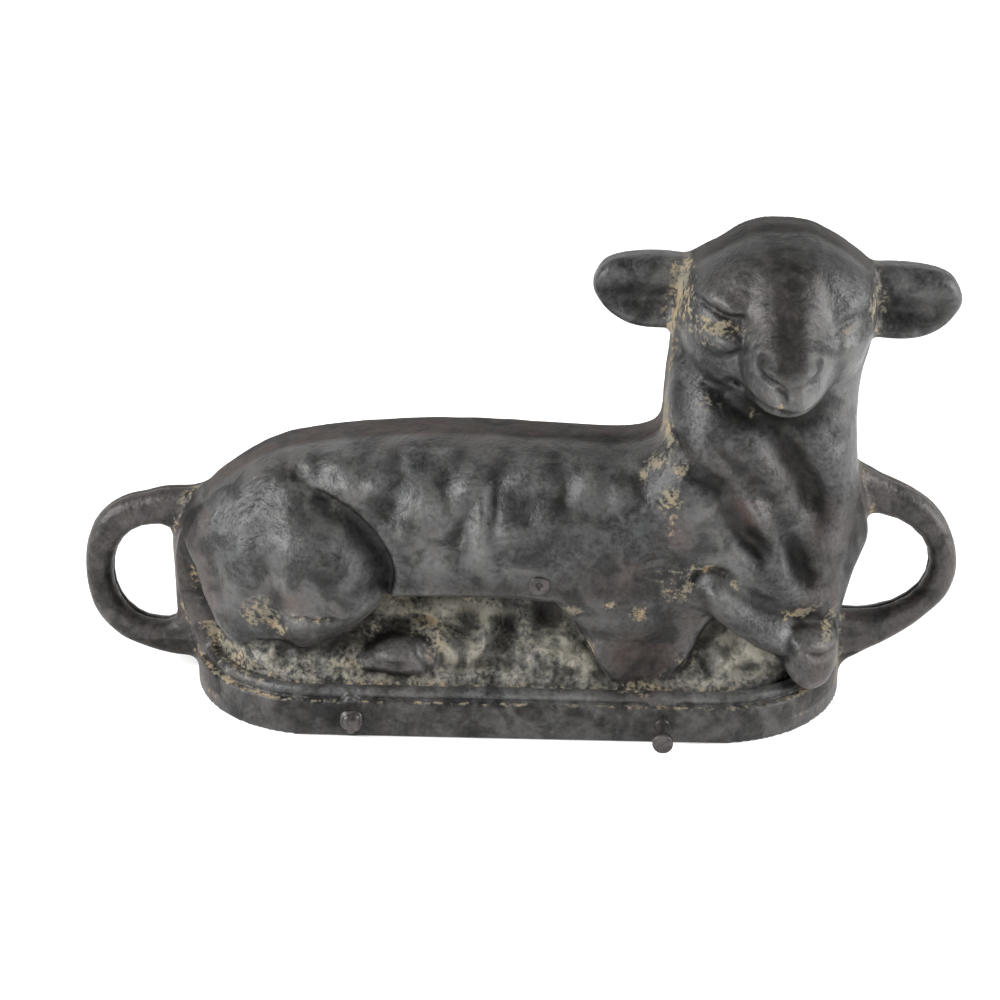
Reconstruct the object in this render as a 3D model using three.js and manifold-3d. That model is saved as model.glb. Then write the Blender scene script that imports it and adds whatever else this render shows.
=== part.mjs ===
// A two-piece cast-iron cake mould in the shape of a lamb lying down with its head turned to the side.
// Millimetres, +Z up, +X towards the head, -Y towards the side that the lamb's face looks to.
// The halves meet on an upright plane, and the mould stands on the flat underside of its plinth.
import * as THREE from "three";
import { mergeVertices } from "three/addons/utils/BufferGeometryUtils.js";
import Module from "manifold-3d";

const wasm = await Module();
wasm.setup();

// Driving sizes of the casting
const plinthLength = 248;
const plinthReach = 57; // from the meeting plane to the plinth's front
const plinthEndRound = 51; // how far along the plinth its rounded ends run
const plinthHeight = 14;
const beadHeight = 4.5;
const beadSetback = 2.6;
const beadRound = 2;
const backHeight = 105;
const headTop = 185;
const headSetback = 31.5; // from the plinth's end to the head's middle
const headHalfWidth = 38;
const earLength = 45; // from its root inside the head
const earHalfWidth = 14.3;
const earDepth = 11;
const earHollow = 3;
const earRound = 3.5;
const rimDepth = 19; // the straight side wall, from the meeting plane to where the modelling starts
const rearRim = 2; // the rear half's own side wall, which is low because its back leans away at once
const rearDraft = 24; // degrees that the rear half's outside leans in, all round the lamb
const restReach = 72; // nose and feet end here, so that the front half lies level face down
const wall = 4.5;
const seamGap = 0.3; // between the two halves where they meet

// Driving sizes of the loop handles, cast with each half
const loopReach = 42.5; // from the plinth's end to the loop's tip
const handleRod = 10.8;
const handleHalfDepth = 6.5;
const tailLoopLength = 48;
const tailLoopFoot = 5;
const tailLoopHeight = 70.5;
const tailWebWidth = 13.5; // solid strip between the loop's hole and its root
const chestLoopLength = 48;
const chestLoopFoot = 7;
const chestLoopHeight = 84;

// Driving sizes of the feet, the locating pins and the vent
const footDiameter = 7.7;
const footHeight = 7;
const footSeat = 3.4; // how deep each foot sits in the casting
const rightFootAlong = 55.5;
const leftFootAlong = -59;
const leftFootReach = 4.2; // what is left of the left foot, in front of the plinth
const bellyFootAlong = 9.7;
const bellyFootHeight = 59;
const bellyFootReach = 1;
const bellyFootSeat = 1.5;
const bellyFootPit = 1.4;
const gussetThickness = 1.8;
const locatorDiameter = 4;
const locatorDepth = 4.4; // how deep each locating pin sits in each half
const ventDiameter = 4;
const ventHeight = 128;
const fitClearance = 0.3;

// Fineness of the modelled surfaces
const facet = 4.4;
const cavityFacet = 8.4;
const overrun = 4; // how far a cutting solid runs past what it cuts

const halfLength = plinthLength / 2;
const headMiddle = halfLength - headSetback;
const loopTip = halfLength + loopReach;
const overallLength = loopTip + loopTip;

// Finish of each kind of piece
const iron = new THREE.MeshStandardMaterial({ color: 0x3f3e3d, roughness: 0.5, metalness: 0.75 });
const rearIron = new THREE.MeshStandardMaterial({ color: 0x3a3938, roughness: 0.55, metalness: 0.75 });
const wornIron = new THREE.MeshStandardMaterial({ color: 0x4c4542, roughness: 0.45, metalness: 0.8 });

// A three.js geometry as a solid that can be joined and cut
function solidOf(geometry) {
  const bare = geometry.clone();
  bare.deleteAttribute("normal");
  bare.deleteAttribute("uv");
  const merged = mergeVertices(bare, 1e-4);
  return new wasm.Manifold(
    new wasm.Mesh({
      numProp: 3,
      vertProperties: new Float32Array(merged.attributes.position.array),
      triVerts: new Uint32Array(merged.index.array),
    }),
  );
}

// A solid as a three.js geometry again
function geometryOf(solid) {
  const mesh = solid.getMesh();
  const stride = mesh.numProp;
  const places = new Float32Array(mesh.numVert * 3);
  for (let i = 0; i < mesh.numVert; i++) {
    places.set(mesh.vertProperties.subarray(i * stride, i * stride + 3), i * 3);
  }
  const geometry = new THREE.BufferGeometry();
  geometry.setAttribute("position", new THREE.BufferAttribute(places, 3));
  geometry.setIndex(new THREE.BufferAttribute(mesh.triVerts, 1));
  geometry.computeVertexNormals();
  return geometry;
}

const joined = (solids) => solids.reduce((whole, next) => whole.add(next));

// An outline in the upright plane, made solid between two depths in front of that plane
function uprightSolid(shape, from, to, options = {}) {
  const geometry = new THREE.ExtrudeGeometry(shape, { depth: to - from, bevelEnabled: false, ...options });
  geometry.rotateX(Math.PI / 2);
  geometry.translate(0, -from, 0);
  return solidOf(geometry);
}

// The same outline drawn in by `inset` all round
const drawnIn = (inset) => ({
  bevelEnabled: true,
  bevelSegments: 0,
  bevelThickness: 0,
  bevelSize: 0,
  bevelOffset: -inset,
});

// A round bar along Y, from the depth `from` to the depth `to`
function bar(diameter, along, height, from, to) {
  const geometry = new THREE.CylinderGeometry(diameter / 2, diameter / 2, to - from, 16);
  geometry.translate(along, -(from + to) / 2, height);
  return solidOf(geometry);
}

function box(width, depth, height, x, y, z) {
  const geometry = new THREE.BoxGeometry(width, depth, height);
  geometry.translate(x, y, z);
  return solidOf(geometry);
}

// The lamb's outline on the meeting plane. Rump, back and chest follow the plinth's half length and the
// height of the back; neck and head follow the head's own sizes.
const rumpAndBackShares = [
  [-0.975, 0.06],
  [-0.993, 0.184],
  [-1.034, 0.346],
  [-1.045, 0.505],
  [-1.008, 0.664],
  [-0.941, 0.76],
  [-0.877, 0.827],
  [-0.752, 0.918],
  [-0.6, 0.967],
  [-0.356, 0.999],
  [-0.115, 1.005],
  [0.126, 0.992],
  [0.3, 0.985],
  [0.385, 1.0],
  [0.425, 1.045],
];
const neckAndHeadShares = [
  [-1.02, 0.655],
  [-0.98, 0.741],
  [-0.93, 0.838],
  [-0.795, 0.922],
  [-0.513, 0.96],
  [-0.329, 0.986],
  [-0.145, 0.998],
  [0.047, 1.0],
  [0.237, 0.998],
  [0.429, 0.987],
  [0.7, 0.953],
  [0.93, 0.91],
  [1.01, 0.83],
  [0.942, 0.755],
  [0.855, 0.683],
  [0.853, 0.6],
  [0.868, 0.555],
];
const chestShares = [
  [1.024, 0.857],
  [1.05, 0.74],
  [1.057, 0.637],
  [1.01, 0.494],
  [0.97, 0.354],
  [0.955, 0.19],
  [0.945, 0.06],
];

// A closed smooth outline through points that run anticlockwise, or clockwise where `side` is positive
function smoothShape(points, side = -1) {
  const shape = new THREE.Shape();
  const ordered = side > 0 ? points.toReversed() : points;
  const [first, ...rest] = ordered.map(([x, z]) => new THREE.Vector2(x, z));
  shape.moveTo(first.x, first.y);
  shape.splineThru(rest);
  shape.closePath();
  return shape;
}

const lambOutline = smoothShape([
  ...rumpAndBackShares.map(([x, z]) => [x * halfLength, z * backHeight]),
  ...neckAndHeadShares.map(([x, z]) => [headMiddle + x * headHalfWidth, z * headTop]),
  ...chestShares.map(([x, z]) => [x * halfLength, z * backHeight]),
]);

// How far the plinth's plan reaches in front of the meeting plane, at a place along it
function planReach(x, inset) {
  const intoEnd = Math.abs(x) - (halfLength - plinthEndRound);
  if (intoEnd <= 0) return plinthReach - inset;
  const share = Math.min(intoEnd / (plinthEndRound - inset), 1);
  return (plinthReach - inset) * Math.sqrt(1 - share * share);
}

// The forms that model the lamb. Those of the body are shares of the plinth's half length, the back's height
// and the plinth's reach; those of the head are shares of its half width, its top and the nose's reach.
// How far the body stands out along its length, and how high it rounds over to the back
const bodyDepthShares = [
  [-1.09, 0.35],
  [-1, 0.47],
  [-0.9, 0.63],
  [-0.77, 0.77],
  [-0.6, 0.825],
  [-0.36, 0.835],
  [-0.16, 0.87],
  [0.12, 0.87],
  [0.32, 0.835],
  [0.48, 0.79],
  [0.6, 0.807],
  [0.77, 0.807],
  [0.87, 0.737],
  [0.95, 0.63],
  [1.03, 0.42],
  [1.13, 0.32],
];
const bodyTopShares = [
  [-1.09, 0.59],
  [-0.95, 0.8],
  [-0.81, 0.93],
  [-0.6, 1.02],
  [-0.24, 1.043],
  [0.16, 1.033],
  [0.355, 1.038],
  [0.42, 1.07],
  [0.45, 1.24],
  [0.48, 1.43],
  [1.02, 1.43],
  [1.13, 1.05],
];
// The body's lower edge: rump, belly, the folded leg's knee, and over the outstretched leg
const bodyEdgeShares = [
  [-1.13, 0.21],
  [-0.95, 0.21],
  [-0.9, 0.295],
  [-0.77, 0.285],
  [-0.565, 0.315],
  [-0.46, 0.46],
  [-0.36, 0.484],
  [0, 0.486],
  [0.13, 0.476],
  [0.18, 0.395],
  [0.245, 0.28],
  [0.345, 0.184],
  [0.395, 0.18],
  [0.485, 0.24],
  [0.58, 0.36],
  [0.62, 0.438],
  [0.68, 0.448],
  [0.77, 0.39],
  [0.855, 0.324],
  [1.09, 0.286],
  [1.21, 0.57],
  [1.21, 1.81],
  [-1.21, 1.81],
];
const neckShares = { x: 0.71, z: 0.98, along: 0.35, up: 0.5, down: 0.52, turn: 0.1, depth: 0.82 };
const thighShares = { x: -0.58, z: 0.55, along: 0.42, up: 0.38, down: 0.38, turn: 0, depth: 1, round: 0.33 };
const thighRingShares = [
  [-0.66, 0.857],
  [-0.54, 0.846],
  [-0.43, 0.765],
  [-0.36, 0.638],
  [-0.35, 0.576],
  [-0.36, 0.505],
  [-0.435, 0.386],
  [-0.55, 0.3],
  [-0.61, 0.27],
  [-0.68, 0.263],
  [-0.815, 0.295],
  [-0.88, 0.476],
  [-0.855, 0.63],
  [-0.79, 0.762],
];
const forearmShares = [
  [0.54, 0.52],
  [0.585, 0.593],
  [0.62, 0.587],
  [0.7, 0.514],
  [0.83, 0.42],
  [0.865, 0.343],
  [0.83, 0.257],
  [0.765, 0.282],
  [0.7, 0.32],
  [0.572, 0.44],
];
const hoofShares = [
  [0.82, 0.414],
  [0.91, 0.39],
  [0.965, 0.357],
  [0.98, 0.3],
  [0.965, 0.243],
  [0.927, 0.187],
  [0.887, 0.172],
  [0.85, 0.195],
  [0.818, 0.257],
];
const hindHoofShares = [
  [-0.465, 0.257],
  [-0.427, 0.29],
  [-0.37, 0.32],
  [-0.306, 0.324],
  [-0.254, 0.3],
  [-0.222, 0.243],
  [-0.23, 0.186],
  [-0.282, 0.167],
  [-0.363, 0.167],
  [-0.476, 0.214],
];
const bodyRound = 0.42;
const bodyShoulderShare = 0.44; // how far down from its top the body is still rounding over
const bodyUndercutShares = { base: 0.54, crown: 0.37, edge: 0.1 };
const thighRollShares = { base: 0.6, crown: 0.42, edge: 0.16, lean: 0.08 };
const thighGrooveShares = { depth: 0.085, width: 0.045 };
const forearmRollShares = { base: 0.63, crown: 0.255, edge: 0.085 };
const hoofRollShares = { base: 0.62, crown: 0.25, edge: 0.085, tip: 0.9, tipLean: 0.8 };
const hindHoofRollShares = { base: 0.7, crown: 0.175, edge: 0.06 };

const skullShares = { x: 0.03, z: 0.82, along: 0.98, up: 0.9, down: 1.0, turn: 0, depth: 0.66 };
const browShares = {
  x: 0.04,
  z: 0.854,
  along: 0.985,
  up: 0.74,
  down: 0.92,
  turn: 0,
  depth: 0.68,
  round: 0.34,
};
// The bridge and muzzle at each height: how far their crest stands out, and half their width
const muzzleCrestShares = [
  [0.65, 0.42],
  [0.667, 0.6],
  [0.684, 0.77],
  [0.696, 0.865],
  [0.72, 0.915],
  [0.75, 0.975],
  [0.775, 0.99],
  [0.79, 1],
  [0.81, 0.985],
  [0.83, 0.925],
  [0.85, 0.87],
  [0.88, 0.785],
  [0.92, 0.69],
  [0.95, 0.61],
  [0.973, 0.51],
  [0.995, 0.35],
  [1.03, 0.17],
];
const muzzleWidthShares = [
  [0.65, 0.16],
  [0.665, 0.24],
  [0.686, 0.37],
  [0.708, 0.46],
  [0.735, 0.5],
  [0.768, 0.527],
  [0.8, 0.537],
  [0.832, 0.521],
  [0.865, 0.474],
  [0.908, 0.408],
  [0.96, 0.368],
  [1.03, 0.316],
];
const muzzleAlongShare = 0.09;
const muzzleFloorShare = 0.36;
const muzzleRound = 0.6;
const roundShare = 0.45; // how full a swelling is, unless it says: less is blunter

// Where two forms meet, the change from one to the other is rounded over about this far
const softBlend = 6;
const firmBlend = 2;

// The ground that the lamb lies on: how far out it is at its foot and where it has climbed under the belly
const groundShares = { foot: 0.16, climb: 0.29, top: 0.63, fade: 0.11 };
const frontGroundShares = { low: 0.85, high: 0.545 };
const rearGroundShares = { low: 0.81, high: 0.67 };

// The rear half's body is rounded more plainly
const rearBodyShares = {
  barrel: { x: -0.24, z: 0.65, along: 0.8, up: 0.38, down: 0.26, turn: 0, depth: 0.89 },
  haunch: { x: -0.7, z: 0.59, along: 0.34, up: 0.37, down: 0.31, turn: -0.25, depth: 0.97 },
  shoulder: { x: 0.5, z: 0.66, along: 0.36, up: 0.42, down: 0.34, turn: 0.2, depth: 0.85 },
  chest: { x: 0.77, z: 0.56, along: 0.33, up: 0.52, down: 0.42, turn: 0, depth: 0.86 },
  neck: neckShares,
};

const bodyPlace = ([x, z]) => [x * halfLength, z * backHeight];
const bodyForm = (f) => ({
  x: f.x * halfLength,
  z: f.z * backHeight,
  along: f.along * halfLength,
  up: f.up * backHeight,
  down: f.down * backHeight,
  turn: f.turn,
  depth: f.depth * plinthReach,
  round: f.round ?? roundShare,
});
const headForm = (f) => ({
  x: headMiddle + f.x * headHalfWidth,
  z: f.z * headTop,
  along: f.along * headHalfWidth,
  up: f.up * headHalfWidth,
  down: f.down * headHalfWidth,
  turn: f.turn,
  depth: f.depth * restReach,
  round: f.round ?? roundShare,
});

// How far one swelling stands in front of the meeting plane at (x, z)
function swelling(form, x, z) {
  const dx = x - form.x;
  const dz = z - form.z;
  const u = (dx * Math.cos(form.turn) + dz * Math.sin(form.turn)) / form.along;
  const v = (dz * Math.cos(form.turn) - dx * Math.sin(form.turn)) / (dz > 0 ? form.up : form.down);
  return form.depth * Math.max(0, 1 - u * u - v * v) ** form.round;
}

// The larger of two depths, with a rounded change over about `blend`
function blended(a, b, blend) {
  const near = Math.max(blend - Math.abs(a - b), 0) / blend;
  return Math.max(a, b) + (near * near * blend) / 4;
}

// A height read off a table of places and heights, straight between them
function readAt(table, at) {
  const next = table.findIndex(([place]) => place > at);
  if (next === 0) return table[0][1];
  if (next < 0) return table.at(-1)[1];
  const [from, low] = table[next - 1];
  const [to, high] = table[next];
  return THREE.MathUtils.lerp(low, high, (at - from) / (to - from));
}

// How far a place lies inside a closed outline, or 0 outside it
function insideOf(points, x, z) {
  const place = new THREE.Vector2(x, z);
  const edges = points.map((point, i) => [point, points[(i + 1) % points.length]]);
  const level = edges.filter(([a, b]) => a.y > z !== b.y > z);
  const crossed = level.filter(([a, b]) => x < ((b.x - a.x) * (z - a.y)) / (b.y - a.y) + a.x);
  return crossed.length % 2 ? Math.min(...edges.map(([a, b]) => distanceTo(a, b, place))) : 0;
}

function distanceTo(a, b, place) {
  const along = b.clone().sub(a);
  const share = THREE.MathUtils.clamp(place.clone().sub(a).dot(along) / along.lengthSq(), 0, 1);
  return a.clone().addScaledVector(along, share).distanceTo(place);
}

const outlineOf = (shares) => shares.map((share) => new THREE.Vector2(...bodyPlace(share)));
const bodyEdge = outlineOf(bodyEdgeShares);
const thighRing = outlineOf(thighRingShares);
const forearmRing = outlineOf(forearmShares);
const hoofRing = outlineOf(hoofShares);
const hindHoofRing = outlineOf(hindHoofShares);
const neckForm = bodyForm(neckShares);
const thighForm = bodyForm(thighShares);
const skullForm = headForm(skullShares);
const browForm = headForm(browShares);
const rearForms = [...Object.values(rearBodyShares).map(bodyForm), skullForm];

// 0 on a form's outline and 1 where its edge has rolled off
const rolledOff = (inside, edge) => Math.sqrt(1 - (1 - Math.min(inside / edge, 1)) ** 2);

// A raised form with a rolled-off edge: its depth inside its outline, or 0
function raised(ring, roll, x, z) {
  const inside = insideOf(ring, x, z);
  return inside ? plinthReach * (roll.base + roll.crown * rolledOff(inside, roll.edge * backHeight)) : 0;
}

function bodyDepth(x, z) {
  const full = plinthReach * readAt(bodyDepthShares, x / halfLength);
  const top = backHeight * readAt(bodyTopShares, x / halfLength);
  const shoulder = backHeight * bodyShoulderShare;
  const climb = THREE.MathUtils.clamp((z - top + shoulder) / shoulder, 0, 1);
  const body = blended(full * (1 - climb ** 2) ** bodyRound, swelling(neckForm, x, z), softBlend);
  return Math.min(body, raised(bodyEdge, bodyUndercutShares, x, z));
}

// The haunch's bulge leans back towards the rump, and a groove runs along its front
function withThigh(depth, x, z) {
  const bulge = Math.min(swelling(thighForm, x, z), raised(thighRing, thighRollShares, x, z));
  const back = THREE.MathUtils.smoothstep(thighForm.x - x, 0, thighForm.along / 2);
  const thigh = bulge - plinthReach * thighRollShares.lean * back;
  if (thigh > depth) return blended(depth, thigh, firmBlend);
  const along = THREE.MathUtils.smoothstep(x - thighForm.x, 0, thighForm.along / 3);
  const above = THREE.MathUtils.smoothstep(z / backHeight, bodyEdgeShares[5][1], thighShares.z);
  const ringPlace = new THREE.Vector2(x, z);
  const gap = Math.min(...thighRing.slice(1).map((point, i) => distanceTo(thighRing[i], point, ringPlace)));
  const groove = Math.exp(-((gap / (thighGrooveShares.width * backHeight)) ** 2));
  return blended(depth - plinthReach * thighGrooveShares.depth * along * above * groove, thigh, firmBlend);
}

function hoofDepth(x, z) {
  const beyond = Math.max(x - hoofRollShares.tip * halfLength, 0);
  return raised(hoofRing, hoofRollShares, x, z) - beyond * hoofRollShares.tipLean;
}

function muzzleDepth(x, z) {
  const height = z / headTop;
  const [lowest] = muzzleCrestShares[0];
  const [highest] = muzzleCrestShares.at(-1);
  const middle = headMiddle + muzzleAlongShare * headHalfWidth;
  const across = Math.abs(x - middle) / (readAt(muzzleWidthShares, height) * headHalfWidth);
  if (height < lowest || height > highest || across > 1) return 0;
  const crest = readAt(muzzleCrestShares, height);
  const rise = (1 - across ** 2.3) ** muzzleRound;
  return restReach * (muzzleFloorShare + (crest - muzzleFloorShare) * rise);
}

// The ground slopes in from a narrow ledge behind the bead, and stays within the plinth's plan
function ground(shares, x, z) {
  const height = z / backHeight;
  const climb = THREE.MathUtils.clamp((height - groundShares.foot) / groundShares.climb, 0, 1);
  const fade = THREE.MathUtils.clamp((groundShares.top - height) / groundShares.fade, 0, 1);
  const reach = plinthReach * THREE.MathUtils.lerp(shares.low, shares.high, climb);
  return fade * Math.min(reach, planReach(x, beadSetback + beadHeight));
}

function frontDepth(x, z) {
  let depth = blended(rimDepth, bodyDepth(x, z), firmBlend);
  depth = blended(depth, swelling(skullForm, x, z), softBlend);
  depth = blended(depth, ground(frontGroundShares, x, z), firmBlend);
  depth = withThigh(depth, x, z);
  depth = blended(depth, raised(forearmRing, forearmRollShares, x, z), firmBlend);
  depth = blended(depth, hoofDepth(x, z), firmBlend);
  depth = blended(depth, raised(hindHoofRing, hindHoofRollShares, x, z), firmBlend);
  depth = blended(depth, swelling(browForm, x, z), softBlend);
  return Math.min(blended(depth, muzzleDepth(x, z), softBlend), restReach);
}

// How far a place lies inside the lamb's outline, its straight closing line in the plinth left out
const outlinePoints = lambOutline.getPoints(2).slice(0, -1);
const outlineEdges = outlinePoints.slice(1).map((point, i) => lineOn(outlinePoints[i], point));
function lineOn(from, to) {
  return new THREE.Line3(new THREE.Vector3(from.x, from.y, 0), new THREE.Vector3(to.x, to.y, 0));
}
function insetAt(x, z) {
  const place = new THREE.Vector3(x, z, 0);
  const nearest = new THREE.Vector3();
  const reach = (edge) => edge.closestPointToPoint(place, true, nearest).distanceTo(place);
  return Math.min(...outlineEdges.map(reach));
}

function rearDepth(x, z) {
  const leaning = rearRim + insetAt(x, z) / Math.tan(THREE.MathUtils.degToRad(rearDraft));
  const forms = rearForms.map((form) => swelling(form, x, z));
  const depth = forms.reduce((sum, form) => blended(sum, form, softBlend), rimDepth);
  return Math.min(blended(depth, ground(rearGroundShares, x, z), firmBlend), leaning);
}

// A surface averaged over about one facet, so that the steep edges of its forms aren't cut into teeth
function eased(surface) {
  const aside = facet * 0.45;
  const corners = [
    [0, 0],
    [aside, aside],
    [aside, -aside],
    [-aside, aside],
    [-aside, -aside],
  ];
  const total = (x, z) => corners.reduce((sum, [dx, dz]) => sum + surface(x + dx, z + dz), 0);
  return (x, z) => total(x, z) / corners.length;
}

// The surface inside the wall: nowhere nearer to the modelled surface than the wall's thickness, found
// by setting a ball against the surface straight ahead and all round. To the side the ball is half a facet
// larger, because facets cut across the valleys.
function cavityDepthAt(surface, x, z) {
  let depth = surface(x, z) - wall;
  for (const tilt of [Math.PI / 4, Math.PI / 2]) {
    const aside = (wall + facet / 2) * Math.sin(tilt);
    for (let turn = 0; turn < 2 * Math.PI; turn += Math.PI / 4) {
      const beside = surface(x + aside * Math.cos(turn), z + aside * Math.sin(turn));
      depth = Math.min(depth, beside - wall * Math.cos(tilt));
    }
  }
  return depth;
}

// A block whose front face follows a depth, and whose back face stands behind the meeting plane
function reliefBlock(depth, cell) {
  const width = overallLength;
  const height = headTop + overrun + overrun;
  const geometry = new THREE.BoxGeometry(
    width,
    overrun,
    height,
    Math.round(width / cell),
    1,
    Math.round(height / cell),
  );
  geometry.translate(0, overrun / 2, height / 2 - overrun);
  const places = geometry.attributes.position;
  for (let i = 0; i < places.count; i++) {
    if (places.getY(i) < overrun / 2) places.setY(i, -depth(places.getX(i), places.getZ(i)));
  }
  return solidOf(geometry);
}

// An ear: a blunt leaf that lies along the meeting plane and is hollowed on its outer side
const earShares = [
  [0, -0.9],
  [0.467, -1.0],
  [0.733, -0.92],
  [0.911, -0.66],
  [0.99, -0.25],
  [1.0, 0.1],
  [0.964, 0.52],
  [0.858, 0.84],
  [0.644, 1.0],
  [0.378, 1.0],
  [0, 0.9],
];
const leftEarShares = { x: -0.54, z: 0.85, side: -1, droop: -0.02 };
const rightEarShares = { x: 0.63, z: 0.84, side: 1, droop: 0.03 };
const earPlace = (ear) => ({ ...ear, x: headMiddle + ear.x * headHalfWidth, z: ear.z * headTop });
const leftEar = earPlace(leftEarShares);
const rightEar = earPlace(rightEarShares);

function earShape(ear) {
  const points = earShares.map(([along, across]) => {
    const out = along * earLength;
    const up = across * earHalfWidth - out * ear.droop;
    return [ear.x + ear.side * out, ear.z + up];
  });
  return smoothShape(points, -ear.side);
}

function earOutside(ear) {
  const leaf = uprightSolid(earShape(ear), -overrun, earDepth - earRound, {
    curveSegments: 2,
    bevelEnabled: true,
    bevelThickness: earRound,
    bevelSize: earRound,
    bevelOffset: -earRound,
    bevelSegments: 2,
  });
  const bowl = new THREE.SphereGeometry(1, 12, 6);
  const bowlDepth = earHollow + earHollow;
  bowl.scale(earLength * 0.42, bowlDepth, earHalfWidth * 0.74);
  bowl.translate(ear.x + ear.side * earLength * 0.58, -earDepth - bowlDepth + earHollow, ear.z);
  return leaf.subtract(solidOf(bowl));
}

const earCavity = (ear) =>
  uprightSolid(earShape(ear), -overrun, earDepth - wall - earHollow, { ...drawnIn(wall), curveSegments: 1 });

// The plinth's plan as a half round-ended slab, from one height to another
function plinthSlab(inset, bottom, top, round = 0) {
  const length = halfLength - inset;
  const reach = plinthReach - inset;
  const end = plinthEndRound - inset;
  const plan = new THREE.Shape();
  plan.moveTo(-length, overrun);
  plan.lineTo(-length, 0);
  plan.absellipse(-length + end, 0, end, reach, Math.PI, Math.PI * 1.5, false);
  plan.absellipse(length - end, 0, end, reach, Math.PI * 1.5, Math.PI * 2, false);
  plan.lineTo(length, overrun);
  plan.closePath();
  const geometry = new THREE.ExtrudeGeometry(plan, {
    depth: top - bottom - round,
    curveSegments: 9,
    bevelEnabled: round > 0,
    bevelThickness: round,
    bevelSize: round,
    bevelOffset: -round,
    bevelSegments: 2,
  });
  geometry.translate(0, 0, bottom);
  return solidOf(geometry);
}

// A loop handle. Outline and hole are shares of the loop's own length and height, from its root.
const tailOuterShares = [
  [-0.1, 1.0],
  [0.29, 0.995],
  [0.5, 0.965],
  [0.72, 0.915],
  [0.88, 0.82],
  [0.97, 0.69],
  [1.0, 0.54],
  [0.98, 0.37],
  [0.91, 0.245],
  [0.76, 0.13],
  [0.56, 0.06],
  [0.28, 0.01],
  [-0.1, 0],
];
const chestOuterShares = [
  [-0.26, 1.0],
  [0.18, 0.985],
  [0.4, 0.925],
  [0.64, 0.86],
  [0.82, 0.775],
  [0.95, 0.65],
  [1.0, 0.51],
  [0.97, 0.41],
  [0.86, 0.305],
  [0.6, 0.175],
  [0.35, 0.09],
  [0.12, 0.02],
  [-0.26, 0],
];
const tailLoop = {
  towardsTail: true,
  length: tailLoopLength,
  foot: tailLoopFoot,
  height: tailLoopHeight,
  outer: tailOuterShares,
  holeFrom: tailWebWidth,
  holeLowShare: 0.215,
  holeHighShare: 0.785,
};
const chestLoop = {
  towardsTail: false,
  length: chestLoopLength,
  foot: chestLoopFoot,
  height: chestLoopHeight,
  outer: chestOuterShares,
  holeFrom: 0,
  holeLowShare: 0.275,
  holeHighShare: 0.76,
};
const rodRound = handleHalfDepth * 0.8;
const rodShoulder = rodRound * 0.8;

// The hole is straight on the body's side and a half ellipse towards the loop's tip
function loopSolid(loop) {
  const root = loopTip - loop.length;
  const side = loop.towardsTail ? -1 : 1;
  const place = (along, up) => [side * (root + along), loop.foot + up];
  const shape = smoothShape(
    loop.outer.map(([u, v]) => place(u * loop.length, v * loop.height)),
    side,
  );
  const low = loop.holeLowShare * loop.height;
  const high = loop.holeHighShare * loop.height;
  const middle = (low + high) / 2;
  const tall = (high - low) / 2;
  const tip = loop.length - handleRod;
  const straight = loop.holeFrom + (tip - loop.holeFrom) * 0.3;
  const corner = tall * 0.16;
  const holePoints = [
    [loop.holeFrom, low + corner],
    [loop.holeFrom, high - corner],
    [loop.holeFrom + corner, high],
    [straight, high],
  ];
  for (let i = 1; i < 8; i++) {
    const angle = Math.PI / 2 - (i * Math.PI) / 8;
    holePoints.push([straight + (tip - straight) * Math.cos(angle), middle + tall * Math.sin(angle)]);
  }
  holePoints.push([straight, low], [loop.holeFrom + corner, low]);
  const corners = holePoints.map(([along, up]) => new THREE.Vector2(...place(along, up)));
  shape.holes.push(new THREE.Path(corners));
  return uprightSolid(shape, -overrun, handleHalfDepth - rodRound, {
    curveSegments: 2,
    bevelEnabled: true,
    bevelThickness: rodRound,
    bevelSize: rodShoulder,
    bevelOffset: -rodShoulder,
    bevelSegments: 2,
  });
}

// Where the feet and the locating pins sit
const footAt = (x, z, face, seat, end) => ({ x, z, face, back: face - seat, end });
const rightFoot = footAt(rightFootAlong, footHeight, plinthReach, footSeat, restReach);
const leftFoot = footAt(leftFootAlong, footHeight, plinthReach, footSeat, plinthReach + leftFootReach);
const bellyFace = frontDepth(bellyFootAlong, bellyFootHeight);
const bellyEnd = bellyFace + bellyFootReach;
const bellyFoot = footAt(bellyFootAlong, bellyFootHeight, bellyFace, bellyFootSeat, bellyEnd);
const tailLocator = {
  x: -(loopTip - tailLoopLength + tailWebWidth),
  z: tailLoopFoot + tailLoopHeight * 0.895,
};
const chestLocator = {
  x: loopTip - chestLoopLength * 0.62,
  z: chestLoopFoot + chestLoopHeight * 0.215,
};

const footSocket = (foot) =>
  bar(footDiameter + 2 * fitClearance, foot.x, foot.z, foot.back, foot.face + overrun);
const locatorSocket = (pin) =>
  bar(locatorDiameter + 2 * fitClearance, pin.x, pin.z, -overrun, locatorDepth + fitClearance);

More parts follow.
